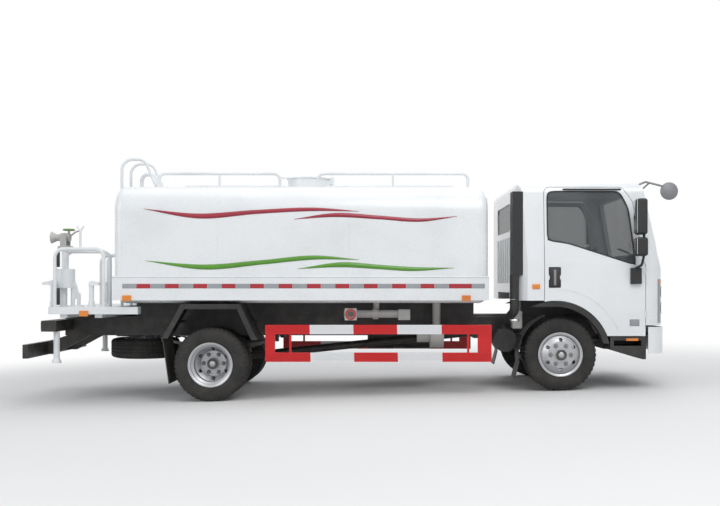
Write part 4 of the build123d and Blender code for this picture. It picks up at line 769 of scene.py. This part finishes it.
def sealPart(side):
    # a round bead carried round the window's eased outline, on the door's skin
    line = rounded(window, seal["steps"], seal["passes"])
    path = np.stack([line[:, 0], side * (skinAt(line[:, 1]) - seal["sink"]), line[:, 1]], -1)
    return tubeAlong(path, seal["radius"], True)


def visorPart(side):
    # a shallow strip along the door's top: its profile is bowed out by part of a sine wave, and the bow
    # is eased towards both ends
    u = np.linspace(*visor["u"], visor["steps"][0])
    bow = np.linspace(0, 1, visor["steps"][1])
    h = visor["h"][0] + bow * (visor["h"][1] - visor["h"][0])
    ease = np.clip(np.minimum(u - u[0], u[-1] - u) / visor["ease"], visor["least"], 1)[:, None]
    arc = np.pi * (visor["arcFrom"] + visor["arcSpan"] * bow[::-1]) / visor["arcWhole"]
    out = skinAt(h) + visor["off"] + ease * visor["bow"] * np.sin(arc)
    outer = np.stack(np.broadcast_arrays(u[:, None], side * out, h[None]), -1)
    inner = np.stack(np.broadcast_arrays(u[:, None], side * (out - visor["thick"]), h[None]), -1)[:, ::-1]
    ring = np.concatenate([outer, inner], axis=1)
    return carried(spot(ring[..., 0], ring[..., 1], ring[..., 2]))


for hand, side in hands:
    body = "side_door_" + hand
    putPiece("window_seal_" + hand, [sealPart(side)], "sealRubber", body)
    putPiece("rain_visor_" + hand, [visorPart(side)], "darkPlastic", body)
    for name, finishName, slot, u, across, h, edge, way in doorBlocks:
        putPiece(name + hand, [block(u, onSide(side, across), h, edge, way)], finishName, body)
print("doors")

# Small lamps on both sides: piece, finish, body and the spans along, across and of heights
lampEdge = 4
lampBlocks = [
    ("pillar_markers", "amberLens", "cab", (3498, 3582), (998, 1012), (1222, 1276)),
    ("tail_lenses", "redLens", "chassis", (-1886, -1870), (702, 785), (778, 855)),
]
for name, finishName, body, u, across, h in lampBlocks:
    parts = [block(u, onSide(side, across), h, lampEdge, "y") for hand, side in hands]
    putPiece(name, parts, finishName, body)

# A blank plate on the bumper
plate = {"u": (4951, 4957), "y": (-220, 220), "h": (656, 762), "edge": 1.5}
plateBlock = block(plate["u"], plate["y"], plate["h"], plate["edge"])
putPiece("front_plate", [plateBlock], "fittingWhite", "chassis")

# Headlamps: two dark rings with bright bowls in each glass, under an amber strip
nose = {"front": 4946.0, "corner": 170.0, "flat": 830.0, "bend": 1210.0, "slope": 17.0 / 220.0}
headlamp = {"across": 862.0, "heights": (1192.0, 1012.0), "around": 48, "stripSteps": 24,
            "bowl": [(46, -4.0), (46, 1.0), (30, 1.8), (8, 2.2)],
            "ring": [(47, -4.0), (47, 1.6), (56, 2.3), (66, 1.6), (66, -4.0)],
            "strip": (774.0, 958.0), "stripHeights": (1284.0, 1318.0), "stripLift": (-4.0, 2.0)}


def noseAt(y, h):
    # the nose is upright, leans back above the bend, and turns round a quarter circle at each corner
    turned = np.clip(np.abs(y) - nose["flat"], 0, nose["corner"])
    plan = nose["front"] - nose["corner"] + np.sqrt(nose["corner"] ** 2 - turned ** 2)
    return np.minimum(plan, nose["front"] - nose["slope"] * np.clip(h - nose["bend"], 0, None))


def lampRings(side, height, profile):
    # circles of the profile's radii laid on the nose, each lifted off it by the profile's second number
    turn = np.linspace(0, 2 * np.pi, headlamp["around"], endpoint=False)
    reach, lift = np.array(profile).T[:, :, None]
    y = side * headlamp["across"] + reach * np.cos(turn)
    h = height + reach * np.sin(turn)
    return spot(noseAt(y, h) + lift, y, h)


def lampStrip(side):
    # a four-cornered section carried across the nose and lifted off it
    y = side * np.linspace(*headlamp["strip"], headlamp["stripSteps"])[:, None]
    h = np.array(headlamp["stripHeights"])[[0, 0, 1, 1]]
    lift = np.array(headlamp["stripLift"])[[0, 1, 1, 0]]
    return carried(spot(noseAt(y, h) + lift, y, h))


rings, bowls = [], []
for hand, side in hands:
    for height in headlamp["heights"]:
        rings.append(carried(lampRings(side, height, headlamp["ring"]).swapaxes(0, 1), True))
        bowls.append(carried(lampRings(side, height, headlamp["bowl"])))
putPiece("lamp_rings", rings, "darkPlastic", "cab")
putPiece("lamp_bowls", bowls, "chromeBright", "cab")
strips = [lampStrip(side) for hand, side in hands]
putPiece("front_indicators", strips, "amberLens", "cab", False)

# Caps over the ends of the tilt pin's bore in the cab's corners
pinCap = {"u": 4800.0, "h": 880.0, "face": 998.0,
          "profile": [(-20.0, 26.0), (1.0, 26.0), (4.0, 20.0), (4.0, 2.0), (-20.0, 2.0)]}
parts = []
for hand, side in hands:
    profile = [(side * along, radius) for along, radius in pinCap["profile"]]
    parts.append(spun((pinCap["u"], side * pinCap["face"], pinCap["h"]), "y", profile))
putPiece("pin_caps", parts, "cabWhite", "cab")

# Mirror glasses on the rear faces of the heads
mirror = {"u": (4575.0, 4580.0), "across": (1098, 1238), "heights": [(1822, 2176), (1592, 1762)], "edge": 2}
for hand, side in hands:
    across = onSide(side, mirror["across"])
    parts = [block(mirror["u"], across, h, mirror["edge"]) for h in mirror["heights"]]
    putPiece("mirror_glass_" + hand, parts, "chromeBright", "side_door_" + hand)

# Wipers parked along the foot of the windscreen
wiper = {"spans": [(-640, -60), (60, 640)], "foot": (4882.0, 1600.0), "slope": -0.2, "rise": (30.0, 120.0),
         "off": 12.0, "arm": 7.0, "blade": 5.0, "bladeShift": (6.0, 0.0, 10.0), "bladeFrom": 6, "steps": 24}
parts = []
for start, end in wiper["spans"]:
    y = np.linspace(start, end, wiper["steps"])
    rise = np.linspace(*wiper["rise"], wiper["steps"])
    line = np.stack([wiper["foot"][0] + wiper["slope"] * rise + wiper["off"], y, wiper["foot"][1] + rise], -1)
    blade = line[wiper["bladeFrom"]:] + wiper["bladeShift"]
    parts += [tubeAlong(line, wiper["arm"]), tubeAlong(blade, wiper["blade"])]
putPiece("wipers", parts, "darkPlastic", "cab")
print("cab trim")

# Seats: crowned cushions and backs, each a rounded box whose faces swell in the middle
seatForm = {"y": (215.0, 745.0), "square": 0.42, "fill": 0.8, "around": 64, "rows": 34,
            "cushion": {"u": (3600, 4110), "h": (1195, 1372), "lean": 0.0},
            "back": {"u": (3520, 3690), "h": (1390, 1945), "lean": -0.17}}


def squared(wave):
    # the wave's size raised to a small power, with its sign kept
    return np.sign(wave) * np.abs(wave) ** seatForm["square"]


def pad(y, u, h, lean):
    # a superquadric: its cosines and sines are squared off, so corners are full and faces crown
    wide = np.linspace(0, 2 * np.pi, seatForm["around"], endpoint=False)
    tall = np.linspace(-np.pi / 2, np.pi / 2, seatForm["rows"])[1:-1, None]
    out = squared(np.cos(tall))
    x = (u[0] + u[1]) / 2 + (u[1] - u[0]) / 2 * out * squared(np.cos(wide))
    across = (y[0] + y[1]) / 2 + (y[1] - y[0]) / 2 * out * squared(np.sin(wide))
    up = (h[0] + h[1]) / 2 + (h[1] - h[0]) / 2 * squared(np.sin(tall))
    return carried(spot(x + lean * (up - (h[0] + h[1]) / 2), across, up))


parts = []
for hand, side in hands:
    across = sorted(onSide(side, seatForm["y"]))
    parts += [pad(across, **seatForm["cushion"]), pad(across, **seatForm["back"])]
seatPads = putPiece("seat_pads", parts, "seatCloth", "cab")
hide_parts("seats")
print("seats")

# Dark strips beside the near hoop's rear post
hoopStrips = {"u": (-1680, -1642), "y": (-1024, -1016), "heights": [(1460, 1634), (1048, 1232)], "edge": 3}
parts = [block(hoopStrips["u"], hoopStrips["y"], h, hoopStrips["edge"], "h") for h in hoopStrips["heights"]]
putPiece("hoop_strips", parts, "darkPlastic", "chassis")

# Fittings that are round about an axis: green hand wheel rim, red outlet flange, bright clamp on the intake
handWheel = {"at": (-1605.0, -835.0, 1876.0), "ring": 55.0, "rim": 11.0, "around": 16}
circle = np.linspace(0, 2 * np.pi, handWheel["around"], endpoint=False)
rim = np.stack([handWheel["rim"] * np.sin(circle), handWheel["ring"] + handWheel["rim"] * np.cos(circle)], -1)
wheelRim = spun(handWheel["at"], "h", rim)
putPiece("hand_wheel_rim", [wheelRim], "handwheelGreen", "cannon_spout")

outlet = {"at": (1520.0, -990.0, 945.0),
          "flange": [(2.0, 35.0), (2.0, 60.0), (-6.0, 60.0), (-9.0, 56.0), (-9.0, 37.0), (-7.0, 35.0)]}
flange = spun(outlet["at"], "y", outlet["flange"])
putPiece("outlet_flange", [flange], "outletRed", "chassis")

clamp = {"at": (3312.0, -946.0, 880.0), "band": [(-12.0, 49.0), (-12.0, 54.0), (12.0, 54.0), (12.0, 49.0)]}
putPiece("intake_clamp", [spun(clamp["at"], "h", clamp["band"])], "chromeBright", "chassis")
print("fittings")
